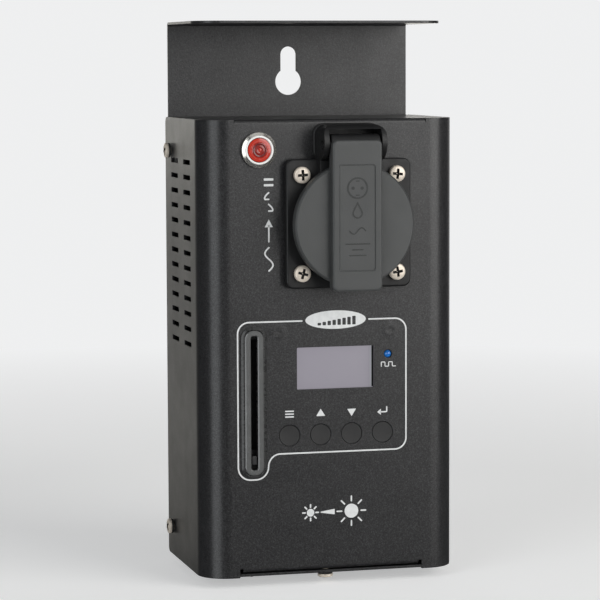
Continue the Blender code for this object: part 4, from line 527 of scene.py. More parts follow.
class Shader:
    """A Principled material while its nodes are put together."""

    def __init__(self, name: str) -> None:
        """Starts a material of that name whose patterns read Object coordinates."""
        self.material = bpy.data.materials.new(name)
        self.material.use_nodes = True
        self.tree = self.material.node_tree
        self.principled = self.tree.nodes["Principled BSDF"]
        self.place = self.tree.nodes.new("ShaderNodeTexCoord").outputs["Object"]

    def set(self, **sockets: Union[float, Colour]) -> None:
        """Sets the shader's own sockets; a name's underscores stand for spaces."""
        for name, value in sockets.items():
            socket = self.principled.inputs[name.replace("_", " ")]
            socket.default_value = (*value, 1.0) if isinstance(value, tuple) else value

    def link(self, output: Socket, name: str) -> None:
        """Links an output to one of the shader's sockets."""
        self.tree.links.new(output, self.principled.inputs[name])

    def node(self, kind: str, values: dict[str, object], links: dict[Union[int, str], Socket]
             ) -> bpy.types.ShaderNode:
        """A new node.

        Args:
            kind: Its kind, after ShaderNode.
            values: What its input sockets are set to.
            links: What its input sockets are linked to.

        Returns:
            The node.
        """
        node = self.tree.nodes.new(f"ShaderNode{kind}")
        for name, value in values.items():
            node.inputs[name].default_value = value
        for name, output in links.items():
            self.tree.links.new(output, node.inputs[name])
        return node

    def noise(self, scale: float, detail: float = 3.0) -> Socket:
        """A noise pattern with about that many spots to the metre."""
        values = {"Scale": scale, "Detail": detail, "Roughness": 0.55}
        return self.node("TexNoise", values, {"Vector": self.place}).outputs["Fac"]

    def distance(self, centre: Place, scale: Place) -> Socket:
        """The distance from a centre, with each axis stretched.

        Args:
            centre: The place that it is measured from.
            scale: The stretch along each axis.

        Returns:
            The length of (place - centre) x scale.
        """
        values = {"Location": tuple(-c * s for c, s in zip(centre, scale)), "Scale": scale}
        place = self.node("Mapping", values, {"Vector": self.place})
        length = self.node("VectorMath", {}, {0: place.outputs["Vector"]})
        length.operation = "LENGTH"
        return length.outputs["Value"]

    def between(self, factor: Socket, low: float, high: float, start: float = 0.3, end: float = 0.7
                ) -> Socket:
        """A number that runs from low to high as the factor runs from start to end."""
        values = {"From Min": start, "From Max": end, "To Min": low, "To Max": high}
        return self.node("MapRange", values, {"Value": factor}).outputs["Result"]

    def mixed(self, factor: Socket, first: Union[Colour, Socket], second: Colour) -> Socket:
        """A colour that runs with a factor.

        Args:
            factor: The share of the second colour.
            first: The first colour, or the output that gives it.
            second: The second colour.

        Returns:
            The mixed colour.
        """
        node = self.node("Mix", {}, {})
        node.data_type = "RGBA"
        self.tree.links.new(factor, node.inputs["Factor"])
        if isinstance(first, tuple):
            node.inputs["A"].default_value = (*first, 1.0)
        else:
            self.tree.links.new(first, node.inputs["A"])
        node.inputs["B"].default_value = (*second, 1.0)
        return node.outputs["Result"]

    def bump(self, height: Socket, distance: float, under: Optional[Socket] = None) -> Socket:
        """A normal disturbed by a height pattern of that distance, over another one."""
        links = {"Height": height} if under is None else {"Height": height, "Normal": under}
        return self.node("Bump", {"Strength": 1.0, "Distance": distance}, links).outputs["Normal"]


@dataclass(frozen=True)
class Finish:
    """A moulded, plated or plain surface: two colours in soft patches, uneven gloss and a fine grain.

    name is the material's name, slot is not used, shade is the colour of the patches, gloss the
    roughness between which the patches run, and grain the spots to the metre and their height.
    """

    name: str
    slot: Optional[str]
    colour: Colour
    shade: Colour
    gloss: Point = (0.4, 0.5)
    metallic: float = 0.0
    patches: float = 60.0
    grain: Point = (2500.0, 0.00001)
    coat: float = 0.0
    glow: float = 0.0

    @property
    def label(self) -> str:
        """The material's name, unlike that of any plain material of the frame."""
        return f"{self.name}_look"

    def material(self) -> bpy.types.Material:
        """The finish's material, made the first time it is asked for."""
        return bpy.data.materials.get(self.label) or self.build()

    def uneven(self, shader: Shader, spots: float, detail: float = 3.0) -> None:
        """Lets the shader's roughness run over the gloss in patches, that many to the metre."""
        shader.link(shader.between(shader.noise(spots, detail), *self.gloss), "Roughness")

    def build(self) -> bpy.types.Material:
        """Builds the material's nodes. What glows is taken off its colours.

        Returns:
            The material.
        """
        shader = Shader(self.label)
        shader.set(Metallic=self.metallic, Coat_Weight=self.coat, Coat_Roughness=0.1)
        shader.set(Emission_Color=self.colour, Emission_Strength=self.glow)
        colour, shade = (tuple((1 - self.glow) * c for c in pair) for pair in (self.colour, self.shade))
        patch = shader.between(shader.noise(self.patches, 4.0), 0, 1)
        shader.link(shader.mixed(patch, colour, shade), "Base Color")
        self.uneven(shader, self.patches * 4)
        shader.link(shader.bump(shader.noise(self.grain[0], 2.0), self.grain[1]), "Normal")
        return shader.material


@dataclass(frozen=True)
class PowderCoat(Finish):
    """Fine-textured powder coat: an even black with a light speckle, over the soft waves of the sprayed film.

    speckle gives the spots to the metre of its coarse and its fine grains, lift how much lighter than the
    shade they are, and peel the spots to the metre of the film's waves with their height.
    """

    speckle: Point = (1250.0, 2600.0)
    lift: Point = (2.6, 5.0)
    peel: Point = (420.0, 0.000006)

    def build(self) -> bpy.types.Material:
        """Builds the coat's nodes: slow patches and speckle in its colour, and three heights of grain.

        Returns:
            The material.
        """
        shader = Shader(self.label)
        patch = shader.between(shader.noise(self.patches), 0, 1, 0.35, 0.65)
        colour = shader.mixed(patch, self.colour, self.shade)
        for spots, lift, start, end in zip(self.speckle, self.lift, (0.32, 0.50), (0.72, 0.74)):
            share = shader.between(shader.noise(spots, 1.0), 0, 1, start, end)
            colour = shader.mixed(share, colour, tuple(lift * value for value in self.shade))
        shader.link(colour, "Base Color")
        self.uneven(shader, self.patches * 3)
        normal = None
        heights = (self.peel, (self.speckle[0], self.grain[1]), (self.grain[0], self.grain[1] / 2))
        for spots, height in heights:
            normal = shader.bump(shader.noise(spots, 1.0), height, normal)
        shader.link(normal, "Normal")
        return shader.material


@dataclass(frozen=True)
class RingedLens(Finish):
    """A clear red lens with rings of lighter and deeper red painted round its middle: painted reflections and
    shade of its pressed steps.

    rings gives each ring's distance as a share of the radius, with the share of the colour in its shade.
    """

    centre: Place = (0.0, 0.0, 0.0)
    radius: float = 0.005
    rings: tuple[Point, ...] = (
        (0.0, 0.95), (0.12, 0.60), (0.26, 0.28), (0.36, 0.42), (0.46, 0.12), (0.56, 0.16), (0.66, 0.62),
        (0.76, 0.80), (0.84, 0.66), (0.93, 0.95), (0.98, 0.40),
    )

    def build(self) -> bpy.types.Material:
        """Builds the lens's nodes: the distance from the middle, as a share of the radius, picks the ring.

        Returns:
            The material.
        """
        shader = Shader(self.label)
        away = shader.distance(self.centre, (1 / self.radius, 0.0, 1 / self.radius))
        ramp = shader.node("ValToRGB", {}, {"Fac": away})
        steps = ramp.color_ramp.elements
        while len(steps) < len(self.rings):
            steps.new(0.5)
        for step, (where, share) in zip(steps, self.rings):
            step.position = where
            step.color = (*(share * c + (1 - share) * d for c, d in zip(self.colour, self.shade)), 1.0)
        shader.link(ramp.outputs["Color"], "Base Color")
        self.uneven(shader, 900, 2.0)
        shader.link(shader.bump(shader.noise(self.grain[0], 2.0), self.grain[1]), "Normal")
        shader.set(Coat_Weight=self.coat, Coat_Roughness=0.04, IOR=1.5)
        return shader.material


@dataclass(frozen=True)
class FadingFloor(Finish):
    """A pale floor that turns into the pale surroundings some way off, so that it shows no edge.

    near and far are the distances from the middle between which its own shading gives way to a steady glow.
    """

    near: float = 0.25
    far: float = 0.80

    def build(self) -> bpy.types.Material:
        """Builds the floor's nodes: the distance from the middle mixes its colour into its glow.

        Returns:
            The material.
        """
        shader = Shader(self.label)
        away = shader.distance((0, 0, 0), (1, 1, 0))
        patch = shader.between(shader.noise(self.patches), 0, 1)
        shaded = shader.mixed(patch, self.colour, self.shade)
        share = shader.between(away, 0, 1, self.near, self.far)
        shader.link(shader.mixed(share, shaded, (0.0, 0.0, 0.0)), "Base Color")
        shader.set(Emission_Color=BACKDROP, Specular_IOR_Level=0.0)
        shader.link(shader.between(away, self.glow, 1.0, self.near, self.far), "Emission Strength")
        self.uneven(shader, self.patches * 4)
        return shader.material


class Finishes:
    """Every finish of the pack."""

    COAT = PowderCoat("black_powder_coat", "black_powder_coat", (0.008, 0.008, 0.0085),
                      (0.010, 0.010, 0.0105), (0.28, 0.34), patches=30.0, grain=(2600.0, 0.000022))
    MOULDING = Finish("black_moulding", "black_moulding", (0.0075, 0.0075, 0.008), (0.012, 0.012, 0.0125),
                      (0.42, 0.55), patches=90.0, grain=(3800.0, 0.000012))
    LID = Finish("lid_moulding", "lid_moulding", (0.052, 0.0545, 0.0545), (0.062, 0.0645, 0.0645),
                 (0.40, 0.52), patches=70.0, grain=(1900.0, 0.00003))
    RUBBER = Finish("black_rubber", "black_rubber", (0.016, 0.016, 0.016), (0.024, 0.024, 0.024), (0.7, 0.85),
                    grain=(3000.0, 0.00002))
    # Painted shade for the screws' cross recesses.
    RECESS = Finish("recess_shadow", None, (0.012, 0.011, 0.010), (0.018, 0.016, 0.015), (0.6, 0.8),
                    patches=900.0)
    # Painted highlight: a near-white, faintly glowing ring for the chrome bezel's bright reflection at its
    # inner edge.
    GLINT_RIM = Finish("lamp_rim_glint", None, (0.90, 0.90, 0.88), (0.84, 0.84, 0.82), (0.2, 0.3), patches=500.0,
                       coat=0.5, glow=0.3)
    # Painted shade: a darker copy of the lid's moulding for the raised marks, for the shading along their
    # edges.
    SHADED_LID_MARK = Finish("lid_mark", None, (0.026, 0.0275, 0.0275), (0.032, 0.034, 0.034), (0.45, 0.55),
                      patches=300.0, grain=(1900.0, 0.00003))
    # Painted light: the fader's bezel and rim are lighter copies of the black moulding, the rim lightest, for
    # the light that falls on their raised edges.
    BEZEL = Finish("fader_bezel", "black_moulding", (0.028, 0.0285, 0.0285), (0.036, 0.0365, 0.0365),
                   (0.24, 0.32), patches=120.0, grain=(3800.0, 0.000010))
    LIT_FADER_RIM = Finish("fader_rim", "black_moulding", (0.092, 0.094, 0.094), (0.112, 0.114, 0.114),
                       (0.20, 0.28), patches=160.0, grain=(3800.0, 0.000008), coat=0.6)
    # Painted highlight: a lighter, glowing strip along the display window's right edge.
    DISPLAY_EDGE_GLINT = Finish("display_edge_glint", None, (0.40, 0.41, 0.44), (0.36, 0.37, 0.40), (0.3, 0.4),
                        patches=300.0, glow=0.55)
    DARK_STEEL = Finish("black_screw", None, (0.05, 0.05, 0.05), (0.035, 0.035, 0.035), (0.35, 0.5), 0.6,
                        patches=600.0)
    NICKEL = Finish("nickel_plate", "nickel_plate", (0.92, 0.83, 0.72), (0.80, 0.71, 0.60), (0.42, 0.52),
                    0.40, patches=700.0, grain=(5000.0, 0.000004))
    CHROME = Finish("chrome", "chrome", (0.90, 0.88, 0.83), (0.80, 0.77, 0.70), (0.18, 0.28), 0.9,
                    patches=300.0, grain=(700.0, 0.0000003))
    # Painted light: the lens's rings of red stand in for the glints and shade of its pressed steps.
    LENS = RingedLens("red_lens", "red_lens", (0.60, 0.045, 0.025), (0.055, 0.003, 0.006), (0.10, 0.18),
                      grain=(900.0, 0.000004), coat=0.25, centre=(-0.0289, 0.0, 0.0774), radius=0.0046)
    LEVER = Finish("lever_moulding", "black_moulding", (0.022, 0.022, 0.023), (0.030, 0.030, 0.031),
                   (0.3, 0.4), patches=300.0, grain=(3800.0, 0.000012))
    # The display glass glows as a backlit display would, strongly enough to even out the shade inside the
    # window's recess: partly painted light.
    GLASS = Finish("display_glass", "display_glass", (0.300, 0.285, 0.325), (0.315, 0.295, 0.315),
                   (0.10, 0.16), patches=40.0, grain=(500.0, 0.000001), glow=0.82)
    BLUE = Finish("blue_light", "blue_light", (0.008, 0.100, 0.42), (0.016, 0.19, 0.58), (0.08, 0.16),
                  patches=500.0, grain=(800.0, 0.000002), coat=0.8)
    BUTTON = Finish("button_cap", "button_cap", (0.017, 0.017, 0.0175), (0.022, 0.022, 0.0225), (0.38, 0.48),
                    patches=200.0, grain=(2600.0, 0.00003))
    BOARD = Finish("circuit_board", "circuit_board", (0.012, 0.10, 0.045), (0.02, 0.16, 0.07), (0.32, 0.45),
                   patches=300.0, grain=(1500.0, 0.00001), coat=0.2)
    BRASS = Finish("brass", "brass", (0.72, 0.52, 0.22), (0.60, 0.42, 0.17), (0.25, 0.4), 1.0, patches=400.0,
                   grain=(3000.0, 0.000004))
    ALUMINIUM = Finish("aluminium", "aluminium", (0.70, 0.71, 0.72), (0.60, 0.61, 0.62), (0.35, 0.5), 1.0,
                       patches=200.0)
    WINDING = Finish("copper_winding", "copper_winding", (0.60, 0.26, 0.10), (0.45, 0.17, 0.06), (0.25, 0.4),
                     1.0, patches=500.0, grain=(3000.0, 0.000004), coat=0.4)
    FILM = Finish("capacitor_case", "capacitor_case", (0.55, 0.40, 0.08), (0.62, 0.47, 0.12), (0.35, 0.5),
                  patches=200.0)
    TERMINAL = Finish("terminal_green", "terminal_green", (0.04, 0.26, 0.12), (0.06, 0.32, 0.15), (0.4, 0.55),
                      patches=200.0)
    STEEL = Finish("spring_steel", "spring_steel", (0.58, 0.58, 0.60), (0.50, 0.50, 0.52), (0.25, 0.4), 1.0,
                   patches=400.0, grain=(3000.0, 0.000004))
    FUSE = Finish("fuse_glass", "fuse_glass", (0.70, 0.75, 0.75), (0.62, 0.68, 0.68), (0.06, 0.12),
                  patches=400.0, grain=(900.0, 0.000002), coat=0.5)
    PRINT = Finish("white_print", None, (0.72, 0.73, 0.73), (0.62, 0.63, 0.63), (0.45, 0.6), patches=500.0,
                   grain=(2300.0, 0.00002))
    FLOOR = FadingFloor("studio_floor", None, (0.78, 0.78, 0.77), (0.74, 0.74, 0.735), (0.6, 0.75),
                        patches=3.0, glow=0.5)


def add_piece(name: str, shape: Union[Surface, Mesh], finish: Finish, view: Optional[View] = None,
              node: str = "", body: Body = Body.CASE, smooth: float = 35.0, bevel: float = 0.0
              ) -> bpy.types.Object:
    """Puts a piece in the scene, dressed and riding on its body.

    Args:
        name: The piece's name.
        shape: Its surface, or its mesh in the row frame.
        finish: Its finish.
        view: The view that its surface is drawn in, if that isn't the row frame.
        node: The frame's node that it stands for, if any.
        body: The body that it moves with.
        smooth: The angle in degrees up to which its edges are shaded smooth.
        bevel: The rounding of its sharp edges.

    Returns:
        The piece.
    """
    if isinstance(shape, Surface):
        shape = (shape.placed(view) if view else shape).mesh(name)
    item = bpy.data.objects.new(name, shape)
    bpy.context.scene.collection.objects.link(item)
    shape.materials.clear()
    shape.materials.append(finish.material())
    shape.shade_smooth()
    shape.set_sharp_from_angle(angle=math.radians(smooth))
    if bevel:
        soft = item.modifiers.new("soft_edges", "BEVEL")
        soft.width = bevel
        soft.segments = 2
        soft.limit_method = "ANGLE"
        soft.angle_limit = math.radians(40)
    item.modifiers.new("even_normals", "WEIGHTED_NORMAL").keep_sharp = True
    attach(item, body.value)
    if node:
        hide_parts(node)
    LOG.info("%s: %d faces on %s", name, len(shape.polygons), body.value)
    return item


@dataclass(frozen=True)
class SoftenedPieces:
    """The frame's own pieces that need only soft edges: their finish, rounding, body and nodes."""

    groups: tuple[tuple[Finish, float, Body, tuple[str, ...]], ...] = (
        (Finishes.MOULDING, 0.0002, Body.CASE, (
            "socket_insert", "display_module", "button_switch_1", "button_switch_2", "button_switch_3",
            "button_switch_4", "power_transistor_1", "power_transistor_2",
        )),
        (Finishes.MOULDING, 0.0003, Body.CASE, ("lamp_holder",)),
        (Finishes.BRASS, 0.0001, Body.CASE, ("live_contact", "neutral_contact", "earth_contact")),
        (Finishes.STEEL, 0.00005, Body.LID, ("lid_spring",)),
        (Finishes.STEEL, 0.0003, Body.LATCH, ("control_out_latch",)),
        (Finishes.RUBBER, 0.0002, Body.CASE, ("fader_body",)),
        (Finishes.LEVER, 0.0003, Body.LEVER, ("fader_lever",)),
        (Finishes.BOARD, 0.0001, Body.CASE, ("control_board",)),
        (Finishes.BOARD, 0.0002, Body.CASE, ("power_board",)),
        (Finishes.ALUMINIUM, 0.0002, Body.CASE, ("heat_sink",)),
        (Finishes.WINDING, 0.0002, Body.CASE, ("choke",)),
        (Finishes.FILM, 0.0002, Body.CASE, ("capacitor",)),
        (Finishes.TERMINAL, 0.0002, Body.CASE, ("terminal_block",)),
    )

    def build(self) -> None:
        """Replaces each node by a copy of it, its loose triangles merged and its edges rounded."""
        for finish, width, body, nodes in self.groups:
            for node in nodes:
                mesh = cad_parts[node].data.copy()
                work = bmesh.new()
                work.from_mesh(mesh)
                bmesh.ops.remove_doubles(work, verts=work.verts, dist=1e-6)
                bmesh.ops.dissolve_limit(work, angle_limit=math.radians(1), verts=work.verts,
                                         edges=work.edges)
                work.to_mesh(mesh)
                work.free()
                add_piece(f"{node}_shape", mesh, finish, node=node, body=body, bevel=width)


# The pack's own sizes and places. A pair is x and z on the front, or x and y in the bottom plate.

BODY_WIDTH = 0.103
BODY_DEPTH = 0.0656
BODY_HEIGHT = 0.178
SHEET = 0.001
HALF_WIDTH = BODY_WIDTH / 2
TOP = BODY_HEIGHT / 2
BOTTOM = -BODY_HEIGHT / 2
PLATE_BOTTOM = BOTTOM + 0.0005
BEND = 0.0016
SHEET_RIM = 0.00012
FIT_GAP = 0.0003
SCREW_HOLE = 0.0018
OUTLET_HOLE = 0.0222
LATCH_SLOT = (0.0062, 0.0026, 0.0003)

LAMP = (-0.0289, 0.0774)
OUTLET = (0.006, 0.04875)
OUTLET_SCREW = 0.019
FADER = (-0.0312, -0.02045)
WINDOW = (0.0017, -0.0077)
SIGNAL = (0.023, -0.003)
BUTTON_PITCH = 0.01254
BUTTON_X = tuple(0.0019 + (i - 1.5) * BUTTON_PITCH for i in range(4))
BUTTON_Z = -0.0338
SIDE_SCREW_DEPTH = -0.0103
SIDE_SCREW_Z = (0.0758, -0.077)
BOTTOM_SCREW_X = -0.0015
CONNECTOR_Y = -0.033
CONTROL_X = (0.004, 0.0335)
CONTROL_SCREW = (0.0095, 0.012)
INLET_X = -0.030
INLET_SCREW = 0.020
LATCH_OFFSET = 0.0131

FRONT = View((0.0, -BODY_DEPTH, 0.0), (1.0, 0.0, 0.0), (0.0, 0.0, 1.0))
BACK_PLATE = View((0.0, -SHEET, 0.0), (1.0, 0.0, 0.0), (0.0, 0.0, 1.0))
OUTLET_FRONT = FRONT.at(*OUTLET)
OUTLET_SIDE = View(OUTLET_FRONT.origin, (0, -1, 0), (0, 0, 1))


@dataclass(frozen=True)
class Bend:
    """A quarter-round bend of the sheet, measured along its outer face.

    start is where the bend begins along the flat sheet and radius is its outer radius.
    """

    start: float
    radius: float = BEND

    @property
    def end(self) -> float:
        """Where the bend ends along the flat sheet."""
        return self.start + self.radius * math.pi / 2

    def fold(self, along: Array, proud: Array) -> tuple[Array, Array]:
        """Folds the sheet back.

        Args:
            along: The distance along the flat sheet's outer face.
            proud: How far a point stands out of that face.

        Returns:
            The place along the unfolded face's direction and how far out of it: along the arc these are
            start + (R + p) sin a and (R + p) cos a - R, and past it start + R + p and -R less what is left.
        """
        angle = np.clip((along - self.start) / self.radius, 0, math.pi / 2)
        past = np.maximum(along - self.end, 0)
        reach = np.where(along < self.start, along, self.start + (self.radius + proud) * np.sin(angle))
        out = np.where(along < self.start, proud, (self.radius + proud) * np.cos(angle) - self.radius - past)
        return reach, out

    def stations(self, steps: int = 6) -> Array:
        """Even places along the bend."""
        return np.linspace(self.start, self.end, steps + 1)


def mirrored(right: Array) -> Traced:
    """The whole of an outline from its right half, which runs from the bottom middle to the top middle."""
    return Traced(np.vstack([right, (right * (-1, 1))[::-1]]))


def stud(reach: float, tip: float, x: float, z: float) -> Surface:
    """A round stud with a thinner, chamfered tip.

    Args:
        reach: The height of its shoulder, out of the sheet or behind it.
        tip: The height of its end.
        x: Its place, to the right.
        z: Its place, upwards.

    Returns:
        The stud, in the sheet's own view.
    """
    profile = [(0, -SHEET / 2), (0.0025, -SHEET / 2), (0.0025, reach), (0.0014, reach), (0.0014, tip)]
    profile += [(0.0011, tip - 0.0003), (0, tip - 0.0003)] if tip < 0 else [(0, tip)]
    return lathe(profile, 24, x, z)


@dataclass(frozen=True)
class Cover:
    """The front cover: one sheet folded round the front, both sides, the top and a short bottom flange.

    A relief is the width of the cut beside a bend, and each weld mark is its x, its z and its share of the
    full height.
    """

    corner: Bend = Bend(HALF_WIDTH - 0.0115, 0.0115)
    top_bend: Bend = Bend(TOP - BEND)
    bottom_bend: Bend = Bend(-(BOTTOM + 0.0019 + BEND))
    top_bend_half: float = 0.0384
    bottom_bend_half: float = 0.0356
    top_relief: float = 0.00012
    bottom_relief: float = 0.0013
    side_setback: float = 0.0006
    side_corner: float = 0.0024
    bottom_flange: float = 0.008
    flange_chamfer: float = 0.0008
    top_flange_radius: float = 0.0099
    top_flange_end: float = 0.0013
    corner_steps: int = 18
    vent: tuple[float, float, float] = (0.0122, 0.0019, 0.0004)
    vent_depths: Point = (-0.0177, -0.0401)
    vent_top: float = 0.072
    vent_pitch: float = 0.00595
    vent_rows: int = 13
    lamp_hole: float = 0.0061
    signal_hole: float = 0.00165
    button_hole: float = 0.00425
    fader_slot: Panel = Panel(0.0068, 0.056, 0.0018, -0.031, FADER[1])
    window: Panel = Panel(0.031, 0.0164, 0.0004, *WINDOW, 3)
    flange_screw: float = 0.0045
    mark_radius: float = 0.0042
    mark_height: float = 0.00008
    marks: tuple[Place, ...] = ((-0.0214, 0.0070, 0.8), (0.0240, 0.0064, 0.8))
    studs: tuple[Point, ...] = ((-0.0229, 0.0068), (0.0245, 0.0068), (-0.0229, -0.0408), (0.0245, -0.0408))

    def blank(self) -> Traced:
        """The flat sheet's outline, right half first: bottom flange, side, top edge and top flange.

        Returns:
            The outline.
        """
        low = self.bottom_bend.end + self.bottom_flange - self.bottom_bend.radius
        notch, half = -self.bottom_bend.start, self.bottom_bend_half
        corner, relief = self.corner.stations(self.corner_steps), self.top_bend_half + self.top_relief
        end = self.corner.end + BODY_DEPTH - self.corner.radius - self.side_setback
        radius, wide = self.side_corner, self.corner.start
        rear = self.top_bend.end + BODY_DEPTH - self.top_bend.radius - self.top_flange_end
        return mirrored(np.vstack([
            [(half - self.flange_chamfer, -low), (half, -low + self.flange_chamfer)],
            spread(half, -self.bottom_bend.stations()[::-1])[:-1],
            [(half, notch), (half + self.bottom_relief, notch), (half + self.bottom_relief, BOTTOM)],
            spread(corner, BOTTOM),
            arc((end - radius, BOTTOM + radius), radius, 270, 360, 6),
            arc((end - radius, TOP - radius), radius, 0, 90, 6),
            spread(corner, TOP)[::-1],
            [(relief, TOP), (relief, TOP - BEND)],
            spread(self.top_bend_half, self.top_bend.stations()),
            arc((wide, self.top_bend.end + self.top_flange_radius), self.top_flange_radius, -90, 0, 10),
            [(wide + self.top_flange_radius, rear)],
        ]))

    def openings(self) -> list[Outline]:
        """Every hole in the sheet, in the flat sheet's own measures: front, sides and bottom flange."""
        holes: list[Outline] = [
            Round(self.lamp_hole, *LAMP), Round(OUTLET_HOLE, *OUTLET, 72), self.fader_slot, self.window,
            Round(self.signal_hole, *SIGNAL, 24),
        ]
        holes += [
            Round(SCREW_HOLE, OUTLET[0] + a * OUTLET_SCREW, OUTLET[1] + b * OUTLET_SCREW, 16)
            for a in SIDES for b in SIDES
        ]
        holes += [Round(self.button_hole, x, BUTTON_Z, 40) for x in BUTTON_X]
        rear = self.corner.end + BODY_DEPTH - self.corner.radius
        for sign in SIDES:
            for depth in self.vent_depths:
                heights = [self.vent_top - row * self.vent_pitch for row in range(self.vent_rows)]
                holes += [Panel(*self.vent, sign * (rear + depth), z, 3) for z in heights]
            holes += [Round(SCREW_HOLE, sign * (rear + SIDE_SCREW_DEPTH), z, 20) for z in SIDE_SCREW_Z]
        flange_hole = -(self.bottom_bend.end + self.flange_screw - self.bottom_bend.radius)
        return holes + [Round(SCREW_HOLE, BOTTOM_SCREW_X, flange_hole, 20)]

    def mark_points(self) -> Array:
        """Loose points round each weld mark, for its gentle swelling to bend."""
        radii = self.mark_radius * np.linspace(0.2, 1.0, 5)
        around = np.vstack([np.zeros((1, 2))] + [arc((0, 0), r, 0, 360, 20)[:-1] for r in radii])
        return (np.array(self.marks)[:, None, :2] + around).reshape(-1, 2)

    def swelling(self, x: Array, z: Array) -> Array:
        """How far the marks push the outer face out: a raised ring, h sin(pi r / R) squared.

        Args:
            x: The points' places, to the right.
            z: The points' places, upwards.

        Returns:
            The push of each point.
        """
        total = np.zeros_like(x)
        for mark_x, mark_z, share in self.marks:
            reach = np.hypot(x - mark_x, (z - mark_z) * 1.15) / self.mark_radius
            total += share * self.mark_height * np.sin(math.pi * np.clip(reach, 0, 1)) ** 2
        return total

    def build(self) -> None:
        """Cuts the blank, folds it and puts it in the scene in place of the plain cover."""
        stations = self.corner.stations(self.corner_steps)
        lines = [((s * u, BOTTOM), (s * u, TOP)) for u in stations for s in SIDES]
        for half, heights in ((self.top_bend_half, self.top_bend.stations()),
                              (self.bottom_bend_half, -self.bottom_bend.stations())):
            lines += [((-half, v), (half, v)) for v in heights]
        flat = slab(self.blank(), -SHEET, 0.0, self.openings(), SHEET_RIM, extra=self.mark_points(),
                    lines=lines)
        u, v, w = flat.points.T
        w = w + np.where(w > -SHEET / 2, self.swelling(u, v), 0)
        reach, out = self.corner.fold(np.abs(u), w)
        top_half = self.top_bend_half + self.top_relief / 2
        in_top = (v > TOP + 0.0003) | ((v > self.top_bend.start) & (np.abs(u) < top_half))
        bottom_half = self.bottom_bend_half + self.bottom_relief / 2
        in_bottom = (v < -self.bottom_bend.start) & (np.abs(u) < bottom_half)
        top_z, top_out = self.top_bend.fold(v, w)
        low_z, low_out = self.bottom_bend.fold(-v, w)
        x = np.where(in_top | in_bottom, u, np.sign(u) * reach)
        z = np.where(in_top, top_z, np.where(in_bottom, -low_z, v))
        out = np.where(in_top, top_out, np.where(in_bottom, low_out, out))
        folded = Surface(np.column_stack([x, z, out]), flat.quads, flat.triangles)
        studs = [stud(-0.0072, -0.0108, *place) for place in self.studs]
        add_piece("cover_sheet", joined([folded] + studs), Finishes.COAT, FRONT, "front_cover")


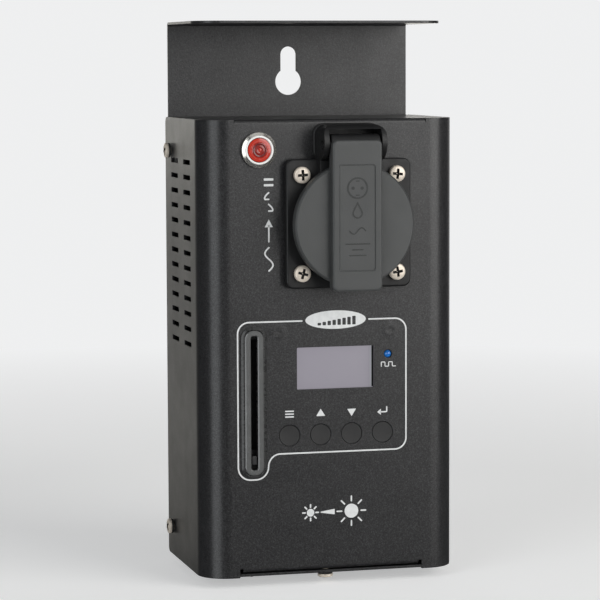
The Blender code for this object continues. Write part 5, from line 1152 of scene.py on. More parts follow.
@dataclass(frozen=True)
class Chassis:
    """The chassis: one sheet folded into the bottom plate, the back plate and the hood's lip."""

    half: float = HALF_WIDTH - 0.0012
    hood_top: float = TOP + 0.038
    hood_depth: float = 0.0535
    hood_corner: float = 0.010
    front_corner: float = 0.0103
    notch_half: float = 0.0369
    notch_depth: float = 0.0012
    keyhole_z: float = 0.1029
    keyhole_radius: float = 0.00545
    slot_half: float = 0.00325
    slot_top: float = 0.1172
    control_hole: float = 0.012
    inlet_hole: tuple[float, float, float] = (0.0296, 0.0286, 0.0004)
    studs: tuple[Point, ...] = ((-0.036, 0.054), (-0.036, -0.050), (0.036, 0.054), (0.036, -0.050))

    @property
    def low_bend(self) -> Bend:
        """The bend between the bottom plate and the back plate, measured from the front edge."""
        return Bend(BODY_DEPTH - BEND)

    @property
    def high_bend(self) -> Bend:
        """The bend between the back plate and the hood's lip."""
        return Bend(self.low_bend.end + (self.hood_top - PLATE_BOTTOM - 2 * BEND))

    @property
    def stations(self) -> Array:
        """Where the two bends need points along the flat sheet."""
        return np.concatenate([self.low_bend.stations(), self.high_bend.stations()])

    def blank(self) -> Traced:
        """The flat sheet's outline: the bottom plate's stepped front edge, straight sides and the lip."""
        length = self.high_bend.end + self.hood_depth - BEND
        front = self.notch_depth + self.front_corner
        return mirrored(np.vstack([
            [(self.notch_half, 0), (self.notch_half, self.notch_depth)],
            arc((self.half - self.front_corner, front), self.front_corner, 270, 360, 10),
            spread(self.half, self.stations),
            arc((self.half - self.hood_corner, length - self.hood_corner), self.hood_corner, 0, 90, 12),
        ]))

    def keyhole(self) -> Traced:
        """A round hole for a screw's head, with a slot above it for its shank."""
        gap = math.degrees(math.asin(self.slot_half / self.keyhole_radius))
        ground = self.low_bend.end - PLATE_BOTTOM - BEND
        hole = arc((0, ground + self.keyhole_z), self.keyhole_radius, 90 + gap, 450 - gap, 40)
        slot = arc((0, ground + self.slot_top - self.slot_half), self.slot_half, 0, 180, 16)
        return Traced(np.vstack([hole, slot]))

    def openings(self) -> list[Outline]:
        """Every hole in the sheet, in the flat sheet's own measures: back plate, then bottom plate."""
        middle = BODY_DEPTH + CONNECTOR_Y
        holes: list[Outline] = [self.keyhole(), Round(SCREW_HOLE, BOTTOM_SCREW_X, 0.0045, 20)]
        for x in CONTROL_X:
            holes.append(Round(self.control_hole, x, middle, 60))
            offsets = [(s * CONTROL_SCREW[0], s * CONTROL_SCREW[1]) for s in SIDES]
            holes += [Round(SCREW_HOLE, x + across, middle + along, 16) for across, along in offsets]
        holes.append(Panel(*LATCH_SLOT, CONTROL_X[1], middle - LATCH_OFFSET, 2))
        holes.append(Panel(*self.inlet_hole, INLET_X, middle, 2))
        return holes + [Round(SCREW_HOLE, INLET_X, middle + s * INLET_SCREW, 16) for s in SIDES]

    def folded(self) -> Surface:
        """The sheet folded at both bends, so that its outer face looks down, back and up.

        Returns:
            The surface, in the row frame.
        """
        lines = [((-self.half, s), (self.half, s)) for s in self.stations]
        flat = slab(self.blank(), -SHEET, 0.0, self.openings(), SHEET_RIM, lines=lines)
        x, s, w = flat.points.T
        reach, out = self.low_bend.fold(s, w)
        lip_reach, lip_out = self.high_bend.fold(s, w)
        in_high = s > self.high_bend.start
        y = np.where(in_high, lip_out, reach - BODY_DEPTH)
        climb = self.hood_top - BEND + (lip_reach - self.high_bend.start)
        z = np.where(in_high, climb, PLATE_BOTTOM - out)
        return Surface(np.column_stack([x, y, z]), flat.quads, flat.triangles).outward()

    def tabs(self) -> list[Surface]:
        """The four side tabs that take the side screws."""
        made = []
        for sign in SIDES:
            view = View((sign * self.half, 0.0, 0.0), (0.0, sign * 1.0, 0.0), (0.0, 0.0, 1.0))
            for z in SIDE_SCREW_Z:
                tab = Panel(0.0155, 0.014, 0.002, sign * -0.00825, z, 4)
                hole = Round(SCREW_HOLE, sign * SIDE_SCREW_DEPTH, z, 20)
                made.append(slab(tab, -SHEET, 0.0, [hole], SHEET_RIM).placed(view))
        return made

    def build(self) -> None:
        """Folds the chassis and puts it in the scene in place of the plain one."""
        studs = [stud(0.0057, 0.0079, *place).placed(BACK_PLATE) for place in self.studs]
        whole = joined([self.folded()] + studs + self.tabs())
        add_piece("chassis_sheet", whole, Finishes.COAT, node="chassis")


@dataclass(frozen=True)
class CrossScrew:
    """A machine screw with a domed head and a cross recess, seated at the height 0 of its view."""

    head_radius: float = 0.003
    head_height: float = 0.0023
    shank_radius: float = 0.0015
    shank_length: float = 0.006
    dome_power: float = 0.17
    edge_share: float = 0.22
    mouth_share: float = 1.22
    floor_share: float = 0.55
    arm: float = 0.0021
    arm_width: float = 0.00105
    recess_depth: float = 0.0013
    washer_radius: float = 0.0
    washer_height: float = 0.0
    finish: Finish = Finishes.NICKEL

    @property
    def shoulder(self) -> float:
        """The height at which the head's dome meets its straight edge."""
        return self.washer_height + self.edge_share * (self.head_height - self.washer_height)

    @property
    def floor(self) -> float:
        """The height of the recess's floor."""
        return self.head_height - self.recess_depth

    def dome(self, radius: Array) -> Array:
        """The dome's height at a distance r from the axis: h0 + (h - h0) (1 - (r / R)^2) ^ p."""
        fall = np.clip(1 - (radius / self.head_radius) ** 2, 0, 1)
        return self.shoulder + (self.head_height - self.shoulder) * fall ** self.dome_power

    def head(self) -> Surface:
        """The head over its shank: its dome from the axis to the edge, then straight down."""
        radii = self.head_radius * np.sin(np.linspace(0, math.pi / 2, 15))
        low, shank, end = self.washer_height, self.shank_radius, -self.shank_length
        edge = filleted([
            (self.head_radius, self.shoulder), (self.head_radius, low), (shank, low), (shank, end + 0.0004),
            (shank - 0.0004, end), (0, end),
        ], [0, 0.0002, 0, 0, 0, 0])
        return lathe(np.vstack([spread(radii, self.dome(radii)), edge[1:]]), 48)

    def wedge(self, along: bool) -> Surface:
        """One arm of the recess: a bar that narrows and shortens towards its floor.

        Args:
            along: Whether it lies along x, and not y.

        Returns:
            The bar, for cutting.
        """
        rows = []
        mouth = self.head_height + 0.0006
        for height, share in ((mouth, self.mouth_share), (self.floor, self.floor_share)):
            half, side = self.arm * share, self.arm_width / 2 * (0.5 + share / 2)
            corners = np.array([(-half, -side), (half, -side), (half, side), (-half, side)])
            corners = corners if along else corners[:, ::-1] * (-1, 1)
            rows.append(np.column_stack([corners, np.full(4, height)]))
        ends = [row.mean(axis=0)[None].repeat(4, axis=0) for row in rows]
        return grid(np.stack([ends[0], *rows, ends[1]]), close_columns=True).outward()

    def place(self, name: str, view: View, node: str) -> None:
        """Cuts the recess, puts the screw in its place and lays its dark washer under it.

        Args:
            name: The piece's name.
            view: Its place.
            node: The node that it stands for.
        """
        pit = lathe([(0, self.floor + 0.0002), (0.0004, self.floor + 0.0002), (0, self.floor - 0.0002)], 16)
        cuts = [shape.placed(view) for shape in (self.wedge(True), self.wedge(False), pit)]
        mesh = carved(name, self.head().placed(view), cuts)
        self.darken(add_piece(name, mesh, self.finish, node=node), view)
        if self.washer_height:
            bore = self.shank_radius + 0.0001
            ring = filleted([
                (bore, 0), (self.washer_radius, 0), (self.washer_radius, self.washer_height),
                (bore, self.washer_height),
            ], [0, 0.0002, 0.0003, 0], closed=True)
            add_piece(f"{name}_washer", lathe(ring, 48, closed=True), Finishes.RUBBER, view)

    def darken(self, item: bpy.types.Object, view: View) -> None:
        """Paints shade into the recess with a dark finish, but not into the little pit in its floor.

        Args:
            item: The screw.
            view: The view that it stands in.
        """
        faces = item.data.polygons
        middles = np.empty(3 * len(faces))
        faces.foreach_get("center", middles)
        x, y, z = view.local(middles.reshape(-1, 3)).T
        radius = np.hypot(x, y)
        sunk = (z < self.dome(radius) - 0.00003) & (z > self.floor - 0.00001) & (radius < 1.3 * self.arm)
        item.data.materials.append(Finishes.RECESS.material())
        faces.foreach_set("material_index", sunk.astype(np.int32))
        item.data.update()


@dataclass(frozen=True)
class CaseScrews:
    """The four side screws and the bottom screw, each turned a little differently from the others."""

    screw: CrossScrew = CrossScrew(washer_radius=0.0029, washer_height=0.0008)
    turns: tuple[float, ...] = (22.0, 41.0, 8.0, 63.0)
    bottom: Place = (BOTTOM_SCREW_X, -0.0611, PLATE_BOTTOM - FIT_GAP)

    def build(self) -> None:
        """Puts each screw in its place."""
        levels = tuple(zip(("upper", "lower"), SIDE_SCREW_Z))
        places = [(side, level) for side in zip(("left", "right"), SIDES) for level in levels]
        for ((side, sign), (level, z)), turn in zip(places, self.turns):
            view = View((sign * (HALF_WIDTH + FIT_GAP), SIDE_SCREW_DEPTH, z), (0, sign, 0), (0, 0, 1))
            self.screw.place(f"{side}_{level}_screw", view.turned(turn), f"side_screw_{side}_{level}")
        under = View(self.bottom, (1, 0, 0), (0, -1, 0))
        self.screw.place("underside_screw", under.turned(30), "bottom_screw")


@dataclass(frozen=True)
class Outlet:
    """The earthed outlet's fixed pieces: gasket, flange and hinge housing, with their screws."""

    size: float = 0.05
    corner: float = 0.003
    back: float = 0.0016
    front: float = 0.0046
    collar_front: float = 0.0086
    bore: float = 0.0218
    collar: float = 0.0226
    housing_half: float = 0.0125
    housing_low: float = 0.02475
    housing_top: float = 0.0384
    housing_proud: float = 0.015
    housing_corner: float = 0.0042
    wall: float = 0.002
    roof: float = 0.0018
    screw: CrossScrew = CrossScrew(0.00325, 0.0023, shank_length=0.009)
    screw_turns: tuple[float, ...] = (-14.0, 8.0, 3.0, -5.0)

    def holes(self) -> list[Outline]:
        """The holes of the four screws."""
        return [Round(SCREW_HOLE, a * OUTLET_SCREW, b * OUTLET_SCREW, 16) for a in SIDES for b in SIDES]

    def flange(self) -> Surface:
        """The square flange, its collar and the apron under the hinge, side by side.

        Returns:
            The surface, in the outlet's view.
        """
        plate = slab(Panel(self.size, self.size, self.corner, steps=8), self.back, self.front,
                     [Round(self.bore, steps=72)] + self.holes(), 0.0008, 0.0002, 4)
        low, high = self.back + 0.0005, self.collar_front
        ring = filleted([
            (self.bore, low), (self.collar, low), (self.collar, high), (self.bore, high),
        ], [0, 0, 0.0003, 0.0002], closed=True)
        start = math.degrees(math.acos(self.housing_half / self.collar))
        base = arc((0, 0), self.collar - 0.0003, 180 - start, start, 24)
        half, top = self.housing_half, self.housing_low
        outline = np.vstack([[(half, top), (-half, top)], base])
        apron = slab(Traced(outline), low, high - 0.0003, rim=0.0004)
        return joined([plate, lathe(ring, 96, closed=True), apron])

    def housing(self) -> Mesh:
        """The hinge housing: a round-nosed block, hollow in front so that two cheeks and a roof stay.

        Returns:
            The mesh.
        """
        half, top, edge = self.housing_half, self.housing_top, self.size / 2
        radius, middle = (top - self.housing_low) / 2, (top + self.housing_low) / 2
        nose = arc((self.housing_proud - radius, middle), radius, -90, 90, 32)
        profile = np.vstack([[(FIT_GAP, top), (FIT_GAP, self.housing_low)], nose])
        block = slab(Traced(profile), -half, half).placed(OUTLET_SIDE)
        inner = half - self.wall
        bore = lathe([(0, 0.02), (0.0018, 0.02), (0.0018, -0.02), (0, -0.02)], 32, 0.0115, 0.03055)
        cuts = [
            self.box((-inner, edge + 0.0005, 0.0025), (inner, top - self.roof, 0.02)),
            self.box((-inner, edge - 0.002, self.collar_front - 0.00015), (inner, edge + 0.002, 0.02)),
            bore.placed(OUTLET_SIDE),
        ]
        reach, rise = half - self.housing_corner, top - self.housing_corner
        for sign in SIDES:
            outline = np.vstack([
                [(half + 0.002, rise), (half + 0.002, top + 0.002), (reach, top + 0.002)],
                arc((reach, rise), self.housing_corner, 90, 0, 10),
            ]) * (sign, 1)
            cuts.append(slab(Traced(outline), -0.001, 0.02).outward().placed(OUTLET_FRONT))
        return carved("hinge_housing", block, cuts)

    def box(self, low: Place, high: Place) -> Surface:
        """A block between two corners of the outlet's view, for cutting."""
        outline = [(low[0], low[1]), (high[0], low[1]), (high[0], high[1]), (low[0], high[1])]
        return slab(Traced(np.array(outline)), low[2], high[2]).placed(OUTLET_FRONT)

    def build(self) -> None:
        """Puts the outlet's fixed pieces in the scene."""
        holes = [Round(OUTLET_HOLE, steps=72)] + self.holes()
        gasket = slab(Panel(0.049, 0.049, 0.003), 0.0003, 0.0013, holes, 0.0002)
        add_piece("outlet_gasket", gasket, Finishes.RUBBER, OUTLET_FRONT, "socket_gasket")
        add_piece("outlet_flange", self.flange(), Finishes.MOULDING, OUTLET_FRONT, "socket_flange")
        half = self.housing_half
        foot = slab(Panel(2 * half + 0.0016, 0.0148, 0.0042, 0, 0.0313, 10), 0.0002, 0.0014, rim=0.0006)
        hollow = self.box((-half + self.wall, 0.0255, 0.001), (half - self.wall, 0.036, 0.003))
        foot = carved("hinge_foot", foot.placed(OUTLET_FRONT), [hollow])
        add_piece("hinge_foot", foot, Finishes.MOULDING)
        add_piece("hinge_housing", self.housing(), Finishes.MOULDING, bevel=0.00025)
        places = [(a, b) for b in SIDES for a in SIDES]
        for number, ((a, b), turn) in enumerate(zip(places, self.screw_turns), 1):
            seat = OUTLET_FRONT.at(a * OUTLET_SCREW, b * OUTLET_SCREW, self.front + FIT_GAP)
            self.screw.place(f"flange_screw_{number}", seat.turned(turn), f"socket_screw_{number}")


@dataclass(frozen=True)
class OutletLid:
    """The outlet's lid, with its strap, seal and pin."""

    radius: float = 0.02375
    front: float = 0.0134
    back: float = 0.0107
    skirt_back: float = 0.0089
    skirt_bore: float = 0.0227
    strap_half: float = 0.0099
    strap_top: float = 0.0326
    strap_nose: float = 0.0006
    strap_bottom: float = -0.0254
    strap_proud: float = 0.01688
    strap_back: float = 0.012
    frame_size: Point = (0.0144, 0.0407)
    frame_middle: float = 0.0028
    knuckle: float = 0.0042
    gap_half: float = 0.0046
    hinge: View = OUTLET_SIDE.at(0.0115, 0.03055)

    def disc(self) -> Surface:
        """The round lid with its chamfered rim and its skirt."""
        profile = filleted([
            (0, self.front), (self.radius - 0.0007, self.front), (self.radius, self.front - 0.0007),
            (self.radius, self.skirt_back), (self.skirt_bore, self.skirt_back), (self.skirt_bore, self.back),
            (0, self.back),
        ], [0, 0.0003, 0.0003, 0.0002, 0.0001, 0.0002, 0])
        return lathe(profile, 128)

    def strap(self) -> Mesh:
        """The raised strap with its framed recess and its round nose.

        Returns:
            The mesh.
        """
        middle = (self.strap_top + self.strap_bottom) / 2
        bar = Panel(2 * self.strap_half, self.strap_top - self.strap_bottom, 0.0022, 0, middle, 6)
        bar = slab(bar, self.strap_back, self.strap_proud, rim=0.0009, back_rim=0.0002, steps=5)
        recess = Panel(*self.frame_size, 0.0006, 0, self.frame_middle, 3)
        recess = slab(recess, self.strap_proud - 0.00025, 0.02)
        start, rise = self.strap_proud - self.strap_nose, self.strap_top - self.strap_nose
        past = self.strap_proud + 0.002
        nose = np.vstack([
            [(past, rise), (past, self.strap_top + 0.002), (start, self.strap_top + 0.002)],
            arc((start, rise), self.strap_nose, 90, 0, 10),
        ])
        nose = slab(Traced(nose), -self.strap_half - 0.001, self.strap_half + 0.001).outward()
        cuts = [recess.placed(OUTLET_FRONT), nose.placed(OUTLET_SIDE)]
        return carved("lid_strap", bar.placed(OUTLET_FRONT), cuts)

    def bead(self) -> Surface:
        """The fine raised line round the strap's recess."""
        outer, inner = (
            Panel(*(side + wider for side in self.frame_size), 0.0008, 0, self.frame_middle, 4)
            for wider in (0.0004, -0.0004)
        )
        return slab(outer, self.strap_proud - 0.0004, self.strap_proud + 0.00012, [inner], 0.00019, 0.0)

    def marks(self) -> Surface:
        """Generic raised marks in the recess: an outlet's face, a drop, a wave and three short bars.

        Returns:
            The marks, in the outlet's view.
        """
        drop, inner = (
            Traced(np.vstack([arc((0, 0.0046), radius, 155, 385, 24), [(0, tip)]]))
            for radius, tip in ((0.0021, 0.0091), (0.0015, 0.0078))
        )
        turn = np.linspace(-math.pi, math.pi, 31)
        wave = stroke(spread(0.0032 * turn / math.pi, -0.0022 + 0.0012 * np.sin(turn)), 0.0005)
        bars = ((0.0100, -0.0072), (0.0046, -0.0094), (0.0070, -0.0116))
        outlines: list[tuple[Outline, list[Outline]]] = [
            (Round(0.0042, 0, 0.0142, 48), [Round(0.0035, 0, 0.0142, 48)]),
            *((Round(0.00065, x, 0.0142, 20), []) for x in (-0.0018, 0.0018)),
            *((Panel(0.0016, 0.0005, 0.0002, 0, y, 2), []) for y in (0.0115, 0.0169)),
            (drop, [inner]),
            (wave, []),
            *((Panel(wide, 0.0005, 0.0002, 0, y, 2), []) for wide, y in bars),
        ]
        floor = self.strap_proud - 0.0003
        return joined([slab(outer, floor, floor + 0.00014, holes) for outer, holes in outlines])

    def knuckles(self) -> Mesh:
        """The two knuckles that hold the pin, with the spring's pocket between them.

        Returns:
            The mesh.
        """
        half, radius, gap = self.strap_half - 0.0002, self.knuckle, self.gap_half
        barrel = [(0, half), (radius - 0.0003, half), (radius, half - 0.0003), (radius, -half + 0.0003),
                  (radius - 0.0003, -half), (0, -half)]
        slot = np.array([(-0.0065, -0.0065), (0.0005, -0.0065), (0.0005, 0.0065), (-0.0065, 0.0065)])
        cuts = [slab(Traced(slot), -gap, gap)]
        cuts += [lathe([(0, h), (r, h), (r, -h), (0, -h)], 48) for r, h in ((0.0034, gap), (0.0018, 0.02))]
        placed = [shape.placed(self.hinge) for shape in (lathe(barrel, 64), *cuts)]
        return carved("lid_knuckles", placed[0], placed[1:])

    def build(self) -> None:
        """Puts the lid's pieces in the scene."""
        lid = Body.LID
        add_piece("lid_disc", self.disc(), Finishes.LID, OUTLET_FRONT, "socket_lid", lid)
        add_piece("lid_strap", self.strap(), Finishes.LID, body=lid, bevel=0.00015)
        add_piece("lid_bead", self.bead(), Finishes.LID, OUTLET_FRONT, body=lid, smooth=50)
        # The marks take a darker copy of the lid's moulding: painted shade.
        add_piece("lid_marks", self.marks(), Finishes.SHADED_LID_MARK, OUTLET_FRONT, body=lid)
        # The knuckles take the black moulding, darker than the lid's grey: painted shade under the housing's
        # roof.
        add_piece("lid_knuckles", self.knuckles(), Finishes.MOULDING, body=lid, bevel=0.0001)
        ring = filleted([(0.0200, 0.0089), (0.0224, 0.0089), (0.0224, 0.0104), (0.0200, 0.0104)], 0.0004,
                        closed=True)
        seal = lathe(ring, 96, closed=True)
        add_piece("lid_seal_ring", seal, Finishes.RUBBER, OUTLET_FRONT, "lid_seal", lid)
        end = 0.0118
        pin = filleted([(0, end), (0.0015, end), (0.0015, -end), (0, -end)], [0, 0.0004, 0.0004, 0])
        add_piece("hinge_pin", lathe(pin, 40), Finishes.STEEL, self.hinge, "lid_pin")


@dataclass(frozen=True)
class Lamp:
    """The round red lamp in its plated bezel."""

    view: View = FRONT.at(*LAMP)
    radius: float = 0.0069
    bore: float = 0.0049
    barrel: float = 0.0058
    top: float = 0.0023
    barrel_end: float = -0.0137
    lens_radius: float = 0.0046

    def bezel(self) -> Surface:
        """The bezel: a cone with a bright inner rim, on a barrel whose thread is a zigzag profile.

        Returns:
            The surface, in the lamp's view.
        """
        heights = -0.0009 * np.arange(1, 13) - 0.0014
        root = self.barrel - 0.0003
        thread = np.hstack([spread(root, heights), spread(self.barrel, heights - 0.00045)]).reshape(-1, 2)
        face = filleted([
            (self.bore, -0.002), (self.bore, self.top - 0.0001), (self.bore + 0.0006, self.top),
            (self.bore + 0.00075, self.top - 0.0002), (self.radius - 0.0002, 0.0014), (self.radius, 0.0011),
            (self.radius, FIT_GAP), (root, FIT_GAP),
        ], [0, 0.0002, 0.0002, 0, 0.0002, 0.0002, 0.0001, 0])
        end = [(root, self.barrel_end), (self.bore, self.barrel_end)]
        return lathe(np.vstack([face, thread, end]), 96, closed=True)

    def lens(self) -> Surface:
        """The lens: a shallow dome with rings pressed in it, h (1 - s^2) less a small cosine of s."""
        share = np.linspace(0, 1, 29)
        dome = 0.0007 * (1 - share**2) + 0.00009 * np.cos(share * math.pi * 7) * (share < 0.8)
        face = spread(self.lens_radius * share, self.top - 0.0002 + dome)
        return lathe(np.vstack([face, [(self.lens_radius, -0.0037), (0, -0.0037)]]), 72)

    def build(self) -> None:
        """Puts the lamp's pieces in the scene."""
        add_piece("lamp_ring", self.bezel(), Finishes.CHROME, self.view, "lamp_bezel", smooth=25)
        inner, outer, high = self.bore - 0.0001, self.bore + 0.00068, self.top + 0.0002
        rim = filleted([(inner, 0.0012), (outer, 0.0012), (outer, high), (inner, high)],
                       [0, 0, 0.0004, 0.0003], closed=True)
        # The rim is painted near-white with a faint glow: a painted highlight for the chrome's reflection.
        add_piece("lamp_rim_glint", lathe(rim, 96, closed=True), Finishes.GLINT_RIM, self.view)
        add_piece("lamp_window", self.lens(), Finishes.LENS, self.view, "lamp_lens")
        outline = filleted(arc((0, 0), 0.0085, 0, 360, 6)[:-1], 0.0006, closed=True)
        nut = slab(Traced(outline), -0.0043, -0.0013, [Round(0.0061)], 0.0003)
        add_piece("lamp_ring_nut", nut, Finishes.NICKEL, self.view, "lamp_nut")


@dataclass(frozen=True)
class Fader:
    """The fader's bezel round its slot. A low slope makes its chamfers shallow."""

    view: View = FRONT.at(*FADER)
    slope: float = 0.62
    base: Panel = Panel(0.0101, 0.0594, 0.0047, steps=12)
    rim: Panel = Panel(0.0074, 0.0563, 0.0033, steps=12)
    slot: Panel = Panel(0.0028, 0.05235, 0.0009, 0, -0.000025, 5)
    rise: tuple[float, float, float] = (FIT_GAP, 0.0009, 0.00145)

    def build(self) -> None:
        """Puts the fader's fixed pieces in the scene."""
        low, middle, high = (height / self.slope for height in self.rise)
        opening = Panel(0.0058, 0.0556, 0.0016)
        base = slab(self.base, low, middle, [opening], 0.0008, 0.0, 1).flattened(self.slope)
        spigot = slab(Panel(0.0064, 0.0556, 0.0016), -0.0013, 0.0007, [self.slot])
        # The frame and rim take lit copies of the black moulding: painted light.
        add_piece("fader_frame", joined([base, spigot]), Finishes.BEZEL, self.view, "fader_bezel", smooth=20)
        rim = slab(self.rim, low, high, [self.slot], 0.00045, 0.0, 1).flattened(self.slope)
        add_piece("fader_rim", rim, Finishes.LIT_FADER_RIM, self.view, smooth=20)


@dataclass(frozen=True)
class ControlPanel:
    """The display's window, the signal light and the four buttons."""

    button_radius: float = 0.0041
    bodies: tuple[Body, ...] = (Body.FIRST_BUTTON, Body.SECOND_BUTTON, Body.THIRD_BUTTON, Body.FOURTH_BUTTON)

    def button(self) -> Surface:
        """A cap with a barely hollow face, z = -d (1 - (r / R)^2), a soft edge, a lip and a plunger.

        Returns:
            The surface, about the button's own axis.
        """
        share = np.linspace(0, 1, 12)
        radius = self.button_radius - 0.00012
        side = filleted([
            (radius, 0), (self.button_radius, -0.00012), (self.button_radius, -0.0014), (0.0049, -0.0014),
            (0.0049, -0.0023), (0.0016, -0.0023), (0.0016, -0.0048), (0, -0.0048),
        ], [0, 0.0001, 0, 0.0002, 0.0002, 0, 0.0002, 0])
        return lathe(np.vstack([spread(radius * share, -0.00006 * (1 - share**2)), side[1:]]), 72)

    def light(self) -> Surface:
        """The signal light: a dome, (r sin a, r cos a) from its tip, on a stem with a rim."""
        turn = np.linspace(0, math.pi / 2, 12)
        dome = spread(0.0015 * np.sin(turn), 0.0006 - 0.0015 + 0.0015 * np.cos(turn))
        stem = [(0.0015, -0.0014), (0.0019, -0.0014), (0.0019, -0.0024), (0.0015, -0.0024),
                (0.0015, -0.0072), (0, -0.0072)]
        return lathe(np.vstack([dome, stem]), 40)

    def build(self) -> None:
        """Puts the panel's pieces in the scene."""
        # The glass glows: a backlight, and painted light over the recess's shade.
        glass = slab(Panel(0.034, 0.0194, 0.0004, steps=3), -0.0044, -0.0034, rim=0.0001)
        add_piece("display_window", glass, Finishes.GLASS, FRONT.at(*WINDOW), "display_glass")
        # Two thin strips along the window's right edge: a dark one, painted shade beside the sheet's cut
        # wall, and a lighter glowing one, a painted highlight.
        for name, wide, x, finish in (("display_shade_line", 0.0008, 0.00045, Finishes.MOULDING),
                                      ("display_glint_strip", 0.0006, -0.00025, Finishes.DISPLAY_EDGE_GLINT)):
            strip = slab(Panel(wide, 0.0166, 0.0001, WINDOW[0] + 0.0155 + x, WINDOW[1], 2), -0.0035, -0.0033)
            add_piece(name, strip, finish, FRONT)
        add_piece("signal_dome", self.light(), Finishes.BLUE, FRONT.at(*SIGNAL), "signal_light")
        for number, (body, x) in enumerate(zip(self.bodies, BUTTON_X), 1):
            add_piece(f"button_cap_{number}", self.button(), Finishes.BUTTON, FRONT.at(x, BUTTON_Z),
                      f"button_{number}", body)


@dataclass(frozen=True)
class PanelPrint:
    """The white print on the front: the line round the controls and the generic marks."""

    low: float = -0.00003
    high: float = 0.00004
    line: float = 0.00058
    label_middle: Point = (0.0018, 0.01105)
    label_half: Point = (0.0122, 0.0036)
    mark_z: float = -0.02535
    side_x: float = -0.02485
    sun_z: float = -0.0645

    def border(self) -> Outline:
        """The line round the controls, from its open top left end to its top right end."""
        return stroke(np.vstack([
            np.linspace((-0.0118, 0.0109), (-0.033, 0.0109), 6)[:-1],
            arc((-0.033, 0.0064), 0.0045, 90, 180, 10),
            np.linspace((-0.0375, 0.0064), (-0.0375, -0.0456), 6)[1:-1],
            arc((-0.03255, -0.0456), 0.00495, 180, 270, 10),
            arc((-0.03035, -0.0456), 0.00495, 270, 360, 10),
            arc((-0.0206, -0.0456), 0.0048, 180, 90, 10),
            arc((0.0259, -0.0363), 0.0045, 270, 360, 10),
            arc((0.0259, 0.0064), 0.0045, 0, 90, 10),
            np.linspace((0.0259, 0.0109), (0.0153, 0.0109), 4)[1:],
        ]), self.line)

    def label(self) -> tuple[Outline, list[Outline]]:
        """The oval white label over the line's gap, and the growing level bars left bare in it."""
        (x, y), (wide, tall) = self.label_middle, self.label_half
        turn = np.linspace(0, 2 * math.pi, 97)[:-1]
        bars = [
            Panel(0.0014, 0.0010 + 0.00034 * i, 0.0002, -0.0066 + 0.0020 * i + x,
                  -0.0016 + 0.00017 * i + y, 2)
            for i in range(8)
        ]
        return Traced(spread(x + wide * np.cos(turn), y + tall * np.sin(turn))), bars

    def button_marks(self) -> list[Outline]:
        """The buttons' marks: three lines, an up arrow, a down arrow and a return arrow.

        Returns:
            Their outlines.
        """
        y = self.mark_z
        heights = [y + i * 0.0011 for i in (-1, 0, 1)]
        marks: list[Outline] = [Panel(0.0036, 0.0005, 0.0002, BUTTON_X[0], height, 2) for height in heights]
        for x, sign in ((BUTTON_X[1], 1), (BUTTON_X[2], -1)):
            points = np.array([(-0.0018, -0.0012 * sign), (0.0018, -0.0012 * sign), (0.0, 0.0017 * sign)])
            marks.append(Traced(filleted(points[::sign] + (x, y), 0.0001, closed=True)))
        x = BUTTON_X[3]
        hook = filleted([(x + 0.0018, y + 0.0014), (x + 0.0018, y - 0.0005), (x - 0.0007, y - 0.0005)],
                        [0, 0.0004, 0])
        head = np.array([(x - 0.0021, y - 0.0005), (x - 0.0006, y - 0.0017), (x - 0.0006, y + 0.0007)])
        return marks + [stroke(hook, 0.00052), Traced(head)]

    def side_marks(self) -> list[Outline]:
        """The column beside the outlet: a wave, an arrow, the wave's two halves cut short, and two bars.

        Returns:
            Their outlines.
        """
        x, wide, line = self.side_x, 0.0016, 0.0006
        turn = np.linspace(0, 2 * math.pi, 25)
        marks: list[Outline] = [
            stroke(spread(x + wide * np.sin(turn), 0.0307 + 0.0090 * turn / (2 * math.pi)), line),
            stroke([(x, 0.0420), (x, 0.0482)], line),
            Traced(np.array([(x - wide, 0.0476), (x + wide, 0.0476), (x, 0.0506)])),
        ]
        share = np.linspace(0.42, 1, 13) * math.pi
        for start, sign in ((0.0520, 1), (0.0565, -1)):
            cut = spread(x + sign * wide * np.sin(share), start + 0.0044 * share / math.pi)
            marks.append(stroke(np.vstack([[(x, cut[0, 1])], cut]), line))
        return marks + [Panel(2 * wide + line, 0.0009, 0.0002, x, z, 2) for z in (0.0638, 0.0660)]

    def signal_mark(self) -> Outline:
        """A square wave under the signal light."""
        across = (0.0203, 0.0203, 0.0218, 0.0218, 0.0233, 0.0233, 0.0248, 0.0248, 0.0261)
        heights = -0.0079 + 0.0017 * np.array((0, 1, 1, 0, 0, 1, 1, 0, 0))
        return stroke(filleted(spread(np.array(across), heights), 0.00025, 3), 0.00035)

    def brightness_marks(self) -> list[Outline]:
        """A disc with eight rays, small on the left and large on the right, with a growing bar between.

        Returns:
            Their outlines.
        """
        marks: list[Outline] = []
        for x, size in ((-0.0086, 0.9), (0.0080, 1.65)):
            marks.append(Round(0.0017 * size, x, self.sun_z, 32))
            for turn in np.arange(8) * math.pi / 4:
                ray = size * np.array([(math.cos(turn), math.sin(turn))])
                marks.append(stroke((x, self.sun_z) + ray * [[0.0024], [0.0035]], 0.0006))
        wedge = np.array([(-0.0045, -0.0647), (0.0012, -0.0656), (0.0012, -0.0634), (-0.0045, -0.0643)])
        return marks + [Traced(filleted(wedge, 0.0001, closed=True))]

    def build(self) -> None:
        """Prints the line, the label and the marks, each as one thin piece on the front."""
        oval, bars = self.label()
        for name, outlines, holes in (
                ("border_print", [self.border()], ()), ("level_label", [oval], bars),
                ("button_marks", self.button_marks(), ()), ("side_marks", self.side_marks(), ()),
                ("signal_mark", [self.signal_mark()], ()), ("brightness_mark", self.brightness_marks(), ())):
            film = joined([slab(outline, self.low, self.high, holes) for outline in outlines])
            add_piece(name, film, Finishes.PRINT, FRONT)


